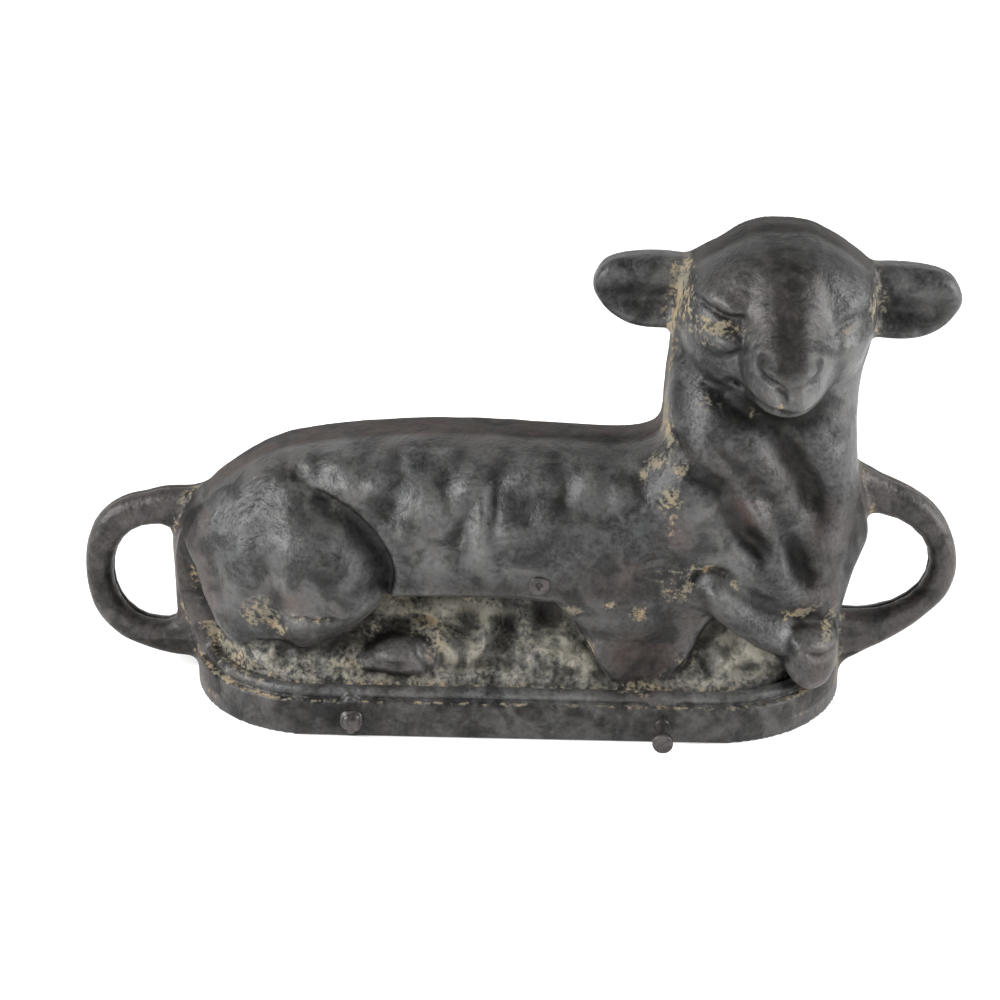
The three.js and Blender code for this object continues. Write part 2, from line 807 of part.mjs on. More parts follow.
// One half of the mould, drawn as the front half is. The rear half is placed turned over.
function castHalf(surface) {
  const lamb = uprightSolid(lambOutline, -overrun, restReach, { curveSegments: 2 }).intersect(
    reliefBlock(surface, facet),
  );
  const plinth = plinthSlab(0, 0, plinthHeight);
  const bead = plinthSlab(beadSetback, plinthHeight / 2, plinthHeight + beadHeight, beadRound);
  const outside = joined([
    lamb,
    plinth,
    bead,
    earOutside(leftEar),
    earOutside(rightEar),
    loopSolid(tailLoop),
    loopSolid(chestLoop),
  ]);
  const lambHollow = uprightSolid(lambOutline, -overrun, restReach, {
    ...drawnIn(wall),
    curveSegments: 2,
  }).intersect(reliefBlock((x, z) => cavityDepthAt(surface, x, z), cavityFacet));
  const hollow = joined([
    lambHollow,
    plinthSlab(wall, wall, plinthHeight),
    earCavity(leftEar),
    earCavity(rightEar),
  ]);
  const meeting = box(
    overallLength + overrun,
    restReach + overrun,
    headTop + overrun,
    0,
    -(restReach + overrun + seamGap) / 2,
    (headTop + overrun) / 2,
  );
  return outside
    .subtract(hollow)
    .subtract(locatorSocket(tailLocator))
    .subtract(locatorSocket(chestLocator))
    .intersect(meeting);
}

function frontHalf() {
  return [rightFoot, leftFoot, bellyFoot].reduce(
    (casting, foot) => casting.subtract(footSocket(foot)),
    castHalf(eased(frontDepth)),
  );
}

// The rear half has a small hole at the back of the neck that lets steam out
function rearHalf() {
  const vent = bar(ventDiameter, headMiddle, ventHeight, rimDepth, restReach);
  return castHalf(eased(rearDepth)).subtract(vent);
}

// A foot that is still whole: a round pin with a flat end and a thin gusset on top
function wholeFoot(foot) {
  const pin = bar(footDiameter, foot.x, foot.z, foot.back + fitClearance, foot.end);
  const fin = new THREE.Shape();
  fin.moveTo(foot.face + fitClearance, foot.z);
  fin.lineTo(foot.end - footDiameter / 3, foot.z);
  fin.lineTo(foot.end - footDiameter / 3, foot.z + footDiameter * 0.45);
  fin.lineTo(foot.face + fitClearance, plinthHeight - fitClearance);
  fin.closePath();
  const gusset = new THREE.ExtrudeGeometry(fin, { depth: gussetThickness, bevelEnabled: false });
  gusset.rotateX(Math.PI / 2);
  gusset.rotateZ(-Math.PI / 2);
  gusset.translate(foot.x + gussetThickness / 2, 0, 0);
  return pin.add(solidOf(gusset));
}

// A foot of which only a rounded, burred stub is left
function stubFoot(foot) {
  const radius = footDiameter / 2;
  const flare = radius * 1.25;
  const back = foot.back + fitClearance;
  const front = foot.face + fitClearance;
  const stub = foot.end - front;
  const profile = [
    [0, back],
    [radius, back],
    [radius, front],
    [flare, front],
    [flare, front + stub * 0.4],
    [flare * 0.82, front + stub * 0.75],
    [flare * 0.45, foot.end - stub * 0.04],
    [0, foot.end],
  ].map(([r, depth]) => new THREE.Vector2(r, depth));
  const geometry = new THREE.LatheGeometry(profile, 16);
  geometry.rotateX(Math.PI);
  geometry.translate(foot.x, 0, foot.z);
  return solidOf(geometry);
}

// A foot broken off almost flush, with a pit in its end
function brokenFoot(foot) {
  const root = bar(footDiameter, foot.x, foot.z, foot.back + fitClearance, foot.end);
  const pitFloor = foot.end - bellyFootPit;
  const pit = bar(footDiameter * 0.4, foot.x - footDiameter / 12, foot.z, pitFloor, foot.end + overrun);
  return root.subtract(pit);
}

const locatingPin = (pin) => bar(locatorDiameter, pin.x, pin.z, -locatorDepth, locatorDepth);

// The assembly, centred between its furthest points front and rear
const mould = new THREE.Group();
mould.position.y = (restReach - plinthReach) / 2;

function piece(name, solid, material) {
  const mesh = new THREE.Mesh(geometryOf(solid), material);
  mesh.name = name;
  mould.add(mesh);
  return mesh;
}

piece("front_half", frontHalf(), iron);
const rear = piece("rear_half", rearHalf(), rearIron);
rear.scale.y = -1;
piece("right_foot_pin", wholeFoot(rightFoot), wornIron);
piece("left_foot_stub", stubFoot(leftFoot), wornIron);
piece("belly_foot_root", brokenFoot(bellyFoot), wornIron);
piece("tail_locating_pin", locatingPin(tailLocator), wornIron);
piece("chest_locating_pin", locatingPin(chestLocator), wornIron);

export default mould;
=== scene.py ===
# Looks of a cast-iron lamb cake mould. The two castings are modelled here from depth maps of the lamb,
# as the moulding board of such a casting is carved: everything stands forward from the meeting plane.
# Lengths are millimetres until they reach a mesh. Places on the meeting plane are (x, z).
import math

import bpy
import numpy as np
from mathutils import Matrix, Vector


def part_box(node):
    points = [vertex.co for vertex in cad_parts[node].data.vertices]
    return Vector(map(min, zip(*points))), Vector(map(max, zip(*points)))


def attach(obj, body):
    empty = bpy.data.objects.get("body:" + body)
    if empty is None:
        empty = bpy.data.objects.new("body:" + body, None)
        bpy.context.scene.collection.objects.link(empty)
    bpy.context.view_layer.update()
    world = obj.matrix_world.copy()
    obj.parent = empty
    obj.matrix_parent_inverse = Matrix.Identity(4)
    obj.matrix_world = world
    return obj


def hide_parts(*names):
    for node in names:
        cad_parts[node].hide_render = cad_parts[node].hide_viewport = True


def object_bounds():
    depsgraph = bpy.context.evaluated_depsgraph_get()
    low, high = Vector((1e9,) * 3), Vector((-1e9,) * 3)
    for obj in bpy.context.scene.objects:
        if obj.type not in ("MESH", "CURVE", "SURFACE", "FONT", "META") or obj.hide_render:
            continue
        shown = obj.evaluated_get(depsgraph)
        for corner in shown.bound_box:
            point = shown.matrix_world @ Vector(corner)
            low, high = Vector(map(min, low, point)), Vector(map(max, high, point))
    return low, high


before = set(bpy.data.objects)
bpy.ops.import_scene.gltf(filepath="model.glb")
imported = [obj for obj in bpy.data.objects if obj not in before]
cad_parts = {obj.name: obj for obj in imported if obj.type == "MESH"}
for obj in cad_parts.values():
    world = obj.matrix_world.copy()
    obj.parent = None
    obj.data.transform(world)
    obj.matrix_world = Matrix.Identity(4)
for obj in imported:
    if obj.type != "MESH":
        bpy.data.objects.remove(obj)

CAD_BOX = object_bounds()
MM = 0.001


def node_box(node):
    """A solid's lowest and highest corner in millimetres."""
    return [np.array(corner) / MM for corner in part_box(node)]


# Sizes of the casting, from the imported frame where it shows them
FRONT_HIGH = node_box("front_half")[1]
REAR_LOW, REAR_HIGH = node_box("rear_half")
MEETING = (FRONT_HIGH[1] + REAR_LOW[1]) / 2
SEAM = REAR_LOW[1] - FRONT_HIGH[1]
LOOP_TIP = FRONT_HIGH[0]
HEAD_TOP = FRONT_HIGH[2]
PLINTH_REACH = REAR_HIGH[1] - MEETING
NOSE_REACH = MEETING - node_box("right_foot_pin")[0][1]
PLINTH_HALF = 124.0
PLINTH_END = 51.0
PLINTH_HEIGHT = 14.0
BEAD_RADIUS = 2.6
BEAD_SETBACK = 2.6
BACK_HEIGHT = 105.0
HEAD_MIDDLE = PLINTH_HALF - 31.5
HEAD_HALF = 38.0
RIM_DEPTH = 19.0
WALL = 4.5
FRONT_DRAFT = 0.02  # how far the side walls lean in for each millimetre of depth
REAR_DRAFT = 0.44
ROD_HALF_WIDTH = 5.4
ROD_HALF_DEPTH = 6.5
EAR_DEPTH = 11.0
VENT_HEIGHT = 128.0
VENT_RADIUS = 2.0
SKIN = 0.25  # the uneven surface stays about this far inside the outlines and the nose's reach

MAP_STEP = 0.5
GRID_STEP = 1.0
GRID_SHIFTS = (0.137, 0.071, 0.093)  # so that no grid plane lies on a flat face
HOLLOW_KEPT = 0.12  # share of the hollow's faces that stay when it is made coarser
HOLLOW_STAIN = 0.16  # how strongly the hollow is stained


# Tools for curves and maps on the meeting plane

def smooth_path(points, closed=False, steps=8):
    """A Catmull-Rom curve through the points."""
    p = np.array(points, float)
    if closed:
        p = np.vstack([p[-1], p, p[0], p[1]])
    else:
        p = np.vstack([2 * p[0] - p[1], p, 2 * p[-1] - p[-2]])
    t = np.arange(steps)[:, None] / steps
    found = []
    for a, b, c, d in zip(p, p[1:], p[2:], p[3:]):
        found.append(0.5 * (2 * b + (c - a) * t + (2 * a - 5 * b + 4 * c - d) * t**2
                            + (3 * b - a - 3 * c + d) * t**3))
    path = np.vstack(found)
    return path if closed else np.vstack([path, p[-2]])


def path_distance(path, x, z):
    """Distance to an open path."""
    best = np.full(np.shape(x), 1e9)
    for (ax, az), (bx, bz) in zip(path, path[1:]):
        ux, uz = bx - ax, bz - az
        long = ux * ux + uz * uz + 1e-12
        t = np.clip(((x - ax) * ux + (z - az) * uz) / long, 0, 1)
        best = np.minimum(best, (x - ax - t * ux) ** 2 + (z - az - t * uz) ** 2)
    return np.sqrt(best)


def signed_distance(path, x, z):
    """Distance to a closed path, negative inside it."""
    ring = np.vstack([path, path[:1]])
    inside = np.zeros(np.shape(x), bool)
    for (ax, az), (bx, bz) in zip(ring, ring[1:]):
        if az != bz:
            inside ^= ((az > z) != (bz > z)) & (x < (bx - ax) * (z - az) / (bz - az) + ax)
    distance = path_distance(ring, x, z)
    return np.where(inside, -distance, distance)


def smooth_max(a, b, k):
    """The larger of two values, with a rounded change from one to the other over about k."""
    h = np.maximum(k - np.abs(a - b), 0) / k
    return np.maximum(a, b) + h * h * k / 4


def smooth_min(a, b, k):
    return -smooth_max(-a, -b, k)


def bell(offset, width):
    """1 where the offset is 0, and next to nothing past twice the width."""
    return np.exp(-(offset / width) ** 2)


def smooth_step(low, high, value):
    t = np.clip((value - low) / (high - low), 0, 1)
    return t * t * (3 - 2 * t)


def profile(pairs, value):
    """A smooth curve through (place, height) pairs, read at the given values."""
    at, height = np.array(sorted(pairs), float).T
    fine = np.linspace(at[0], at[-1], 400)
    slope = np.gradient(height, at)
    i = np.clip(np.searchsorted(at, fine) - 1, 0, len(at) - 2)
    span = at[i + 1] - at[i]
    t = (fine - at[i]) / span
    curve = ((2 * t**3 - 3 * t**2 + 1) * height[i] + (t**3 - 2 * t**2 + t) * span * slope[i]
             + (3 * t**2 - 2 * t**3) * height[i + 1] + (t**3 - t**2) * span * slope[i + 1])
    return np.interp(value, fine, curve)


def blurred(values, radius):
    """A map blurred by about radius millimetres."""
    sigma = radius / MAP_STEP
    reach = int(3 * sigma) + 1
    taps = np.exp(-0.5 * (np.arange(-reach, reach + 1) / sigma) ** 2)
    taps /= taps.sum()
    for axis in (0, 1):
        moved = np.moveaxis(np.asarray(values, float), axis, 0)
        padded = np.concatenate([np.repeat(moved[:1], reach, 0), moved, np.repeat(moved[-1:], reach, 0)])
        out = sum(tap * padded[i:i + len(moved)] for i, tap in enumerate(taps))
        values = np.moveaxis(out, 0, axis)
    return values


# The maps' grid

map_x = np.arange(-LOOP_TIP - 3, LOOP_TIP + 3 + MAP_STEP, MAP_STEP)
map_z = np.arange(-4, HEAD_TOP + 4 + MAP_STEP, MAP_STEP)
X, Z = np.meshgrid(map_x, map_z, indexing="ij")


def look(values, x, z):
    """A map's value at any places, blended between its points."""
    u = np.clip((x - map_x[0]) / MAP_STEP, 0, len(map_x) - 1.001)
    v = np.clip((z - map_z[0]) / MAP_STEP, 0, len(map_z) - 1.001)
    i, j = u.astype(int), v.astype(int)
    a, b = u - i, v - j
    return ((values[i, j] * (1 - a) + values[i + 1, j] * a) * (1 - b)
            + (values[i, j + 1] * (1 - a) + values[i + 1, j + 1] * a) * b)


def noise_map(cell, seed):
    """Smooth random relief, between about -1 and 1, with lumps about one cell across."""
    rng = np.random.default_rng(seed)
    nx, nz = int(2 * LOOP_TIP / cell) + 5, int(HEAD_TOP / cell) + 5
    coarse = rng.normal(size=(nx, nz))
    u, v = (X - map_x[0]) / cell, (Z - map_z[0]) / cell
    i, j = u.astype(int), v.astype(int)
    a, b = u - i, v - j
    a, b = a * a * (3 - 2 * a), b * b * (3 - 2 * b)
    i, j = np.clip(i, 0, nx - 2), np.clip(j, 0, nz - 2)
    return ((coarse[i, j] * (1 - a) + coarse[i + 1, j] * a) * (1 - b)
            + (coarse[i, j + 1] * (1 - a) + coarse[i + 1, j + 1] * a) * b) * 0.7


# Outlines. The lamb's is in shares of the plinth's half length and the back's height, and of the head's
# half width and top.
rump_and_back_shares = [
    (-0.975, 0.06), (-0.993, 0.184), (-1.034, 0.346), (-1.045, 0.505), (-1.008, 0.664), (-0.941, 0.76),
    (-0.877, 0.827), (-0.752, 0.918), (-0.6, 0.967), (-0.356, 0.999), (-0.115, 1.005), (0.126, 0.992),
    (0.3, 0.985), (0.385, 1.0), (0.425, 1.045),
]
neck_and_head_shares = [
    (-1.02, 0.655), (-0.98, 0.741), (-0.93, 0.838), (-0.795, 0.922), (-0.513, 0.96), (-0.329, 0.986),
    (-0.145, 0.998), (0.047, 1.0), (0.237, 0.998), (0.429, 0.987), (0.7, 0.953), (0.93, 0.91), (1.01, 0.83),
    (0.942, 0.755), (0.855, 0.683), (0.853, 0.6), (0.868, 0.555),
]
chest_shares = [
    (1.024, 0.857), (1.05, 0.74), (1.057, 0.637), (1.01, 0.494), (0.982, 0.354), (0.978, 0.19),
    (0.965, 0.06),
]
ear_shares = [
    (0, -0.78), (0.25, -0.95), (0.5, -1.0), (0.7, -0.9), (0.86, -0.62), (0.96, -0.25), (1.0, 0.1),
    (0.97, 0.45), (0.88, 0.78), (0.68, 0.96), (0.4, 1.0), (0.15, 0.9), (0, 0.78),
]
EAR_LENGTH = 45.0
EAR_HALF_WIDTH = 14.3
EAR_PIT_SHARE = 22 / 45  # how far along an ear the painted shade in its hollow lies
left_ear = {"x": HEAD_MIDDLE - 0.54 * HEAD_HALF, "z": 0.85 * HEAD_TOP, "side": -1, "droop": -0.02}
right_ear = {"x": HEAD_MIDDLE + 0.63 * HEAD_HALF, "z": 0.84 * HEAD_TOP, "side": 1, "droop": 0.03}

tail_outer_shares = [
    (-0.1, 1.0), (0.29, 0.995), (0.5, 0.965), (0.72, 0.915), (0.88, 0.82), (0.97, 0.69), (1.0, 0.54),
    (0.98, 0.37), (0.91, 0.245), (0.76, 0.13), (0.56, 0.06), (0.28, 0.01), (-0.1, 0),
]
chest_outer_shares = [
    (-0.26, 1.0), (0.18, 0.985), (0.4, 0.925), (0.64, 0.86), (0.82, 0.775), (0.95, 0.65), (1.0, 0.51),
    (0.97, 0.41), (0.86, 0.305), (0.6, 0.175), (0.35, 0.09), (0.12, 0.02), (-0.26, 0),
]
tail_loop = {"side": -1, "length": 48, "foot": 5, "height": 70.5, "outer": tail_outer_shares,
             "hole_from": 13.5, "low": 0.215, "high": 0.785}
chest_loop = {"side": 1, "length": 48, "foot": 7, "height": 84, "outer": chest_outer_shares,
              "hole_from": 0, "low": 0.275, "high": 0.76}


def lamb_outline():
    points = [(x * PLINTH_HALF, z * BACK_HEIGHT) for x, z in rump_and_back_shares]
    points += [(HEAD_MIDDLE + x * HEAD_HALF, z * HEAD_TOP) for x, z in neck_and_head_shares]
    points += [(x * PLINTH_HALF, z * BACK_HEIGHT) for x, z in chest_shares]
    return smooth_path(points)


def ear_outline(ear):
    points = []
    for along, across in ear_shares:
        out = along * EAR_LENGTH
        points.append((ear["x"] + ear["side"] * out, ear["z"] + across * EAR_HALF_WIDTH - out * ear["droop"]))
    return smooth_path(points)


def loop_distance(loop):
    """Signed distance of a handle's outline with its hole taken out."""
    root = LOOP_TIP - loop["length"]
    outer = smooth_path([(loop["side"] * (root + u * loop["length"]), loop["foot"] + v * loop["height"])
                         for u, v in loop["outer"]])
    low, high = loop["foot"] + loop["low"] * loop["height"], loop["foot"] + loop["high"] * loop["height"]
    middle, tall = (low + high) / 2, (high - low) / 2
    tip = loop["length"] - 2 * ROD_HALF_WIDTH
    straight = loop["hole_from"] + (tip - loop["hole_from"]) * 0.3
    corner = tall * 0.2
    hole = [(loop["hole_from"], low + corner), (loop["hole_from"], high - corner),
            (loop["hole_from"] + corner * 0.3, high - corner * 0.3), (loop["hole_from"] + corner, high)]
    for angle in np.linspace(math.pi / 2, -math.pi / 2, 13):
        hole.append((straight + (tip - straight) * math.cos(angle), middle + tall * math.sin(angle)))
    hole += [(loop["hole_from"] + corner, low), (loop["hole_from"] + corner * 0.3, low + corner * 0.3)]
    hole = [(loop["side"] * (root + along), up) for along, up in hole]
    return np.maximum(signed_distance(outer, X, Z), -signed_distance(np.array(hole), X, Z))


# The lamb's swellings, in the same shares as the casting's main sizes: place, half sizes, turn and depth

body_shares = {
    "barrel": (-0.24, 0.65, 0.8, 0.38, 0.26, 0, 0.89),
    "haunch": (-0.7, 0.59, 0.34, 0.37, 0.31, -0.25, 0.97),
    "shoulder": (0.5, 0.66, 0.36, 0.42, 0.34, 0.2, 0.85),
    "chest": (0.77, 0.56, 0.33, 0.52, 0.42, 0, 0.86),
    "neck": (0.71, 0.98, 0.35, 0.5, 0.52, 0.1, 0.82),
}
skull_share = (0.03, 0.82, 0.98, 0.9, 1.0, 0, 0.66)
ROUND = 0.45


def dome(x, z, along, up, down, turn, depth, round_power=ROUND):
    """A rounded swelling, with its own half heights above and below its middle."""
    dx, dz = X - x, Z - z
    u = (dx * math.cos(turn) + dz * math.sin(turn)) / along
    v = (dz * math.cos(turn) - dx * math.sin(turn)) / np.where(dz > 0, up, down)
    return depth * np.maximum(1 - u * u - v * v, 0) ** round_power


def body_dome(share):
    x, z, along, up, down, turn, depth = share
    return dome(x * PLINTH_HALF, z * BACK_HEIGHT, along * PLINTH_HALF, up * BACK_HEIGHT, down * BACK_HEIGHT,
                turn, depth * PLINTH_REACH)


def head_dome(share):
    x, z, along, up, down, turn, depth = share
    return dome(HEAD_MIDDLE + x * HEAD_HALF, z * HEAD_TOP, along * HEAD_HALF, up * HEAD_HALF,
                down * HEAD_HALF, turn, depth * NOSE_REACH)


def plan_reach(x, inset):
    """How far forward the plinth's plan, less an inset, reaches at a place along it."""
    into = np.clip((np.abs(x) - (PLINTH_HALF - PLINTH_END)) / (PLINTH_END - inset), 0, 1)
    return (PLINTH_REACH - inset) * np.sqrt(1 - into * into)


def ground_map(reach_low=48.5, reach_high=31.0):
    """The ground that the lamb lies on: it slopes in under the belly from a narrow ledge behind the bead."""
    rise = np.clip((Z - 17) / 30, 0, 1)
    reach = reach_low + (reach_high - reach_low) * rise ** 0.85
    fade = np.clip((66 - Z) / 12, 0, 1)
    return fade * np.minimum(reach, plan_reach(X, BEAD_SETBACK + 2 * BEAD_RADIUS + 0.3))


def rolled(inside, edge):
    """0 at a form's outline to 1 where its roll-off ends."""
    return np.sqrt(np.clip(1 - (1 - np.clip(inside / edge, 0, 1)) ** 2, 0, 1))


def pillow(depths, path, base, crown, edge, k=1.2):
    """Lays a raised form over a map: inside the path it stands at base plus crown and rolls off."""
    inside = np.maximum(-signed_distance(path, X, Z), 0)
    form = np.where(inside > 0, base + crown * rolled(inside, edge), 0)
    return smooth_max(depths, form, k)


def groove(depths, points, width, deep, fade_ends=True):
    """Cuts a rounded crease along a path, shallower towards its ends. A negative depth makes a ridge."""
    path = smooth_path(points, steps=6)
    lo, hi = path.min(0) - 4 * width, path.max(0) + 4 * width
    sx = slice(*np.searchsorted(map_x, (lo[0], hi[0])))
    sz = slice(*np.searchsorted(map_z, (lo[1], hi[1])))
    x, z = X[sx, sz], Z[sx, sz]
    cut = np.zeros(x.shape)
    count = len(path) - 1
    for n, (a, b) in enumerate(zip(path, path[1:])):
        share = (n + 0.5) / count
        strength = min(1, 4.5 * min(share, 1 - share) + 0.25) if fade_ends else 1
        distance = path_distance([a, b], x, z)
        cut = np.maximum(cut, strength * bell(distance, width))
    depths[sx, sz] -= deep * cut


def bump(depths, x, z, half_x, half_z, height, turn=0.0):
    """Raises a soft lump, or sinks one where the height is negative."""
    reach = 2.6 * max(half_x, half_z)
    sx = slice(*np.searchsorted(map_x, (x - reach, x + reach)))
    sz = slice(*np.searchsorted(map_z, (z - reach, z + reach)))
    dx, dz = X[sx, sz] - x, Z[sx, sz] - z
    u = (dx * math.cos(turn) + dz * math.sin(turn)) / half_x
    v = (dz * math.cos(turn) - dx * math.sin(turn)) / half_z
    depths[sx, sz] += height * np.exp(-(u * u + v * v))


def carve(depths, grooves, lumps=()):
    """Cuts grooves, as (path, width, depth), and raises lumps, as (x, z, half sizes, height and turn)."""
    for points, width, deep in grooves:
        groove(depths, points, width, deep)
    for lump in lumps:
        bump(depths, *lump)


# The front lamb: body, folded legs and face

FLEECE_LUMPS = [
    (-87, 103, 6, 4.5, 1.5), (-64.5, 102, 6.5, 5, 1.9), (-94.5, 95.5, 6, 5, 1.2), (-50, 94.5, 6.2, 6, 2.6),
    (-38, 106, 7, 4.5, 1.9), (-32.5, 88, 8, 6.5, 1.8), (-15.5, 95, 7, 5.5, 2.5), (-11.5, 84, 3.2, 9, 1.9),
    (-11, 72, 3.5, 5, 1.3), (-7, 108.5, 6, 4.5, 1.8), (-26.5, 104, 6, 4.5, 1.4), (-1.5, 78.5, 6, 5, 1.6),
    (2.5, 98, 6.5, 5.5, 1.8), (-38.5, 78.5, 7, 5, 1.0), (9, 96, 4.5, 5, 1.5), (21, 103, 4.5, 4, 1.3),
    (27, 97, 5, 7, 2.0), (38.5, 92, 5.5, 6, 1.1), (11.5, 107, 6, 4, 1.2), (-74, 72, 9, 7, 0.8),
    (-60, 93, 5, 4, 1.2), (14, 84, 7, 5, 1.0), (-22, 66, 8, 5, 0.8), (44, 101, 6, 4, 0.9),
]
FLEECE_HOLLOWS = [
    (-79, 94, 5, 4.5, 2.4), (-72, 97, 3.5, 3.5, 1.6), (-56, 105, 5, 4, 1.6), (-43.5, 101, 4, 4, 1.6),
    (-25, 96.5, 5, 4.5, 2.4), (-20, 101.5, 4, 3, 1.4), (-18, 109, 5, 3, 1.2), (5, 107, 6, 3.5, 1.9),
    (5.5, 88.5, 6, 5, 1.7), (-38.5, 69.5, 8, 5, 1.0), (18, 91, 4, 7, 1.7), (15, 101, 4, 4, 1.4),
    (38, 108, 8, 4, 1.6), (-7.5, 89, 3.5, 7, 1.5), (-19.5, 79, 3.5, 8, 1.5), (33, 104, 5, 4, 0.9),
    (-44, 86, 4, 6, 1.1), (28, 84, 6, 5, 0.7),
]


def fleece(depths):
    """Lumps and hollows of the fleece on the flank."""
    for n, (x, z, half_x, half_z, height) in enumerate(FLEECE_LUMPS):
        bump(depths, x, z, half_x * 0.95, half_z * 0.95, height * 1.6, 0.3 * math.sin(2.3 * n))
    for n, (x, z, half_x, half_z, deep) in enumerate(FLEECE_HOLLOWS):
        bump(depths, x, z, half_x * 0.9, half_z * 0.9, -deep * 1.1, 0.5 * math.sin(1.7 * n))


def body_map():
    """Flank, shoulder and chest in one: how far the lamb's body stands out, before legs and head."""
    along = profile([
        (-135, 20), (-124, 27), (-112, 36), (-95, 44), (-75, 47), (-45, 47.5), (-20, 49.5), (15, 49.5),
        (40, 47.5), (60, 45), (75, 46), (95, 46), (108, 42), (118, 36), (128, 24), (140, 18),
    ], X)
    top = profile([
        (-135, 62), (-118, 84), (-100, 98), (-75, 107), (-30, 109.5), (20, 108.5), (42, 110), (49, 114),
        (55, 124), (64, 142), (76, 150), (126, 150), (140, 110),
    ], X)
    height = 46.0
    v = np.clip((Z - (top - height)) / height, 0, 1)
    return along * np.maximum(1 - v ** 2.2, 0) ** 0.42


def body_edge():
    """The body's lower edge: the belly, the folded leg's knee, and over the outstretched leg."""
    return [
        (-150, 72), (-126, 64), (-119.5, 55), (-117, 43), (-112, 33), (-106, 27), (-101, 26), (-96, 29),
        (-84, 29), (-70, 33), (-57, 46.5), (-45, 48.6), (-30, 48.8), (0, 48.5), (14, 47), (20, 41),
        (25, 34.5), (30.5, 27.5), (36.5, 20.8), (42.5, 16), (47, 14.4), (51.5, 15.4), (56.5, 19.4),
        (62, 25.5), (67.5, 32), (73, 40), (77, 46), (84, 47), (95, 41), (106, 34), (116, 30), (135, 30),
        (150, 60), (150, 190), (-150, 190),
    ]


def thigh(depths):
    """The haunch's bulge: sharp in front and below, running out into the rump behind."""
    ring = smooth_path([
        (-82, 92), (-75, 91.5), (-67, 88.8), (-60, 85.6), (-53.5, 80.3), (-48, 74), (-44.6, 67),
        (-43.3, 60.5), (-44.6, 53), (-48.5, 46.3), (-54, 40.5), (-60.5, 35.5), (-68, 31.5), (-76, 28.4),
        (-84, 27.6), (-93, 28), (-104, 24), (-122, 28), (-134, 50), (-126, 78), (-108, 96), (-94, 98),
    ], True, 5)
    inside = np.maximum(-signed_distance(ring, X, Z), 0)
    high = smooth_step(46, 58, Z)
    bulge = dome(-72, 58, 54, 42, 40, 0, 57, 0.33)
    crown = (1 - high) * 23 * rolled(inside, 17) + high * 14.5 * smooth_step(-3, 22, inside)
    bulge = np.minimum(bulge, 34 + 7.5 * high + crown)
    bulge = bulge - 11 * smooth_step(-74, -100, X) - 6 * smooth_step(72, 92, Z) * smooth_step(-56, -74, X)
    ahead = smooth_step(-80, -66, X) * smooth_step(34, 46, Z)
    blended = smooth_max(depths, np.where(inside > 0, bulge, 0), 1.5 + 11 * smooth_step(-62, -82, X) * high)
    depths = np.where(inside > 0, blended * (1 - ahead) + bulge * ahead, blended)
    carve(depths, [
        ([(-76, 89), (-69, 86), (-62, 82), (-56, 76), (-51.5, 69), (-48.5, 61)], 5.5, 2.6),
        ([(-91.5, 66), (-89, 58), (-86.5, 50), (-86, 43), (-90, 36)], 4.5, 2.2),
        ([(-84, 46), (-80, 44.5), (-76, 46.5), (-71, 45.5), (-66, 46.5), (-61, 45)], 0.9, 1.8),
    ], [
        (-66.5, 62, 4.5, 4.0, -1.1), (-84, 74, 6, 5, 1.0), (-98, 70, 5, 8, 1.4), (-103, 50, 5, 9, 1.6),
        (-110, 58, 3.5, 10, -1.2), (-92, 84, 6, 5, 1.0),
    ])
    return depths


def front_legs(depths):
    """The outstretched fore leg with its elbow and its hoof."""
    forearm = [(67, 55), (69, 60), (72.5, 62.3), (77, 61.6), (81, 58.6), (87, 54), (94.5, 48.8), (103, 44.2),
               (107, 36), (103, 27), (95, 29.6), (86.5, 33.6), (77.5, 40), (71, 46.2)]
    hoof = [(100, 42), (106, 42.5), (113, 41), (119.5, 37.5), (123, 31), (121.5, 24), (116.5, 17.6),
            (110.5, 15.6), (105, 17.6), (100, 24), (98.5, 34)]
    arm_base = 36 - 0.05 * np.maximum(X - 84, 0)
    depths = pillow(depths, smooth_path(forearm, True, 5), arm_base, 14.5, 10, 2.6)
    hoof_base = 37 - 0.42 * np.maximum(X - 108, 0)
    depths = pillow(depths, smooth_path(hoof, True, 5), hoof_base, 15.5, 10, 3.0)
    carve(depths, [
        ([(65, 58), (67.5, 61.8), (71, 64), (75.5, 64), (80, 61.5)], 1.9, 2.4),
        ([(82, 60), (90, 54), (98, 49.5), (106, 46.5), (113, 44)], 2.4, 1.1),
        ([(107, 35.5), (111, 33.2), (116, 33.4), (119, 35)], 1.2, 1.7),
        ([(103.5, 43), (102, 36), (101.5, 28)], 2.6, 0.8),
    ], [
        (72, 57, 4.5, 4, 1.4), (112.5, 37.5, 4, 2.4, 0.9), (109, 29, 4.5, 4, 0.9),
    ])
    return depths


def hind_hoof(depths):
    """The hind hoof, which lies under the belly just ahead of the haunch."""
    hoof = [(-58, 27), (-53, 30.5), (-46, 33.5), (-38, 34), (-31.5, 31.5), (-27.5, 25.5), (-28.5, 19.5),
            (-35, 17.5), (-45, 17.5), (-54, 19), (-59, 22.5)]
    depths = pillow(depths, smooth_path(hoof, True, 5), 38.5, 11, 9, 3.5)
    carve(depths, [
        ([(-37.5, 33), (-35, 28), (-32, 24), (-29.5, 19)], 1.3, 2.6),
        ([(-53, 31), (-49, 27), (-43, 25.5), (-38, 26.5)], 1.6, 1.4),
    ], [
        (-47, 29, 6, 2.4, 1.2, 0.2), (-33.5, 28.5, 3, 3, 1.0), (-49, 21.5, 6, 2.2, -1.2),
    ])
    return depths


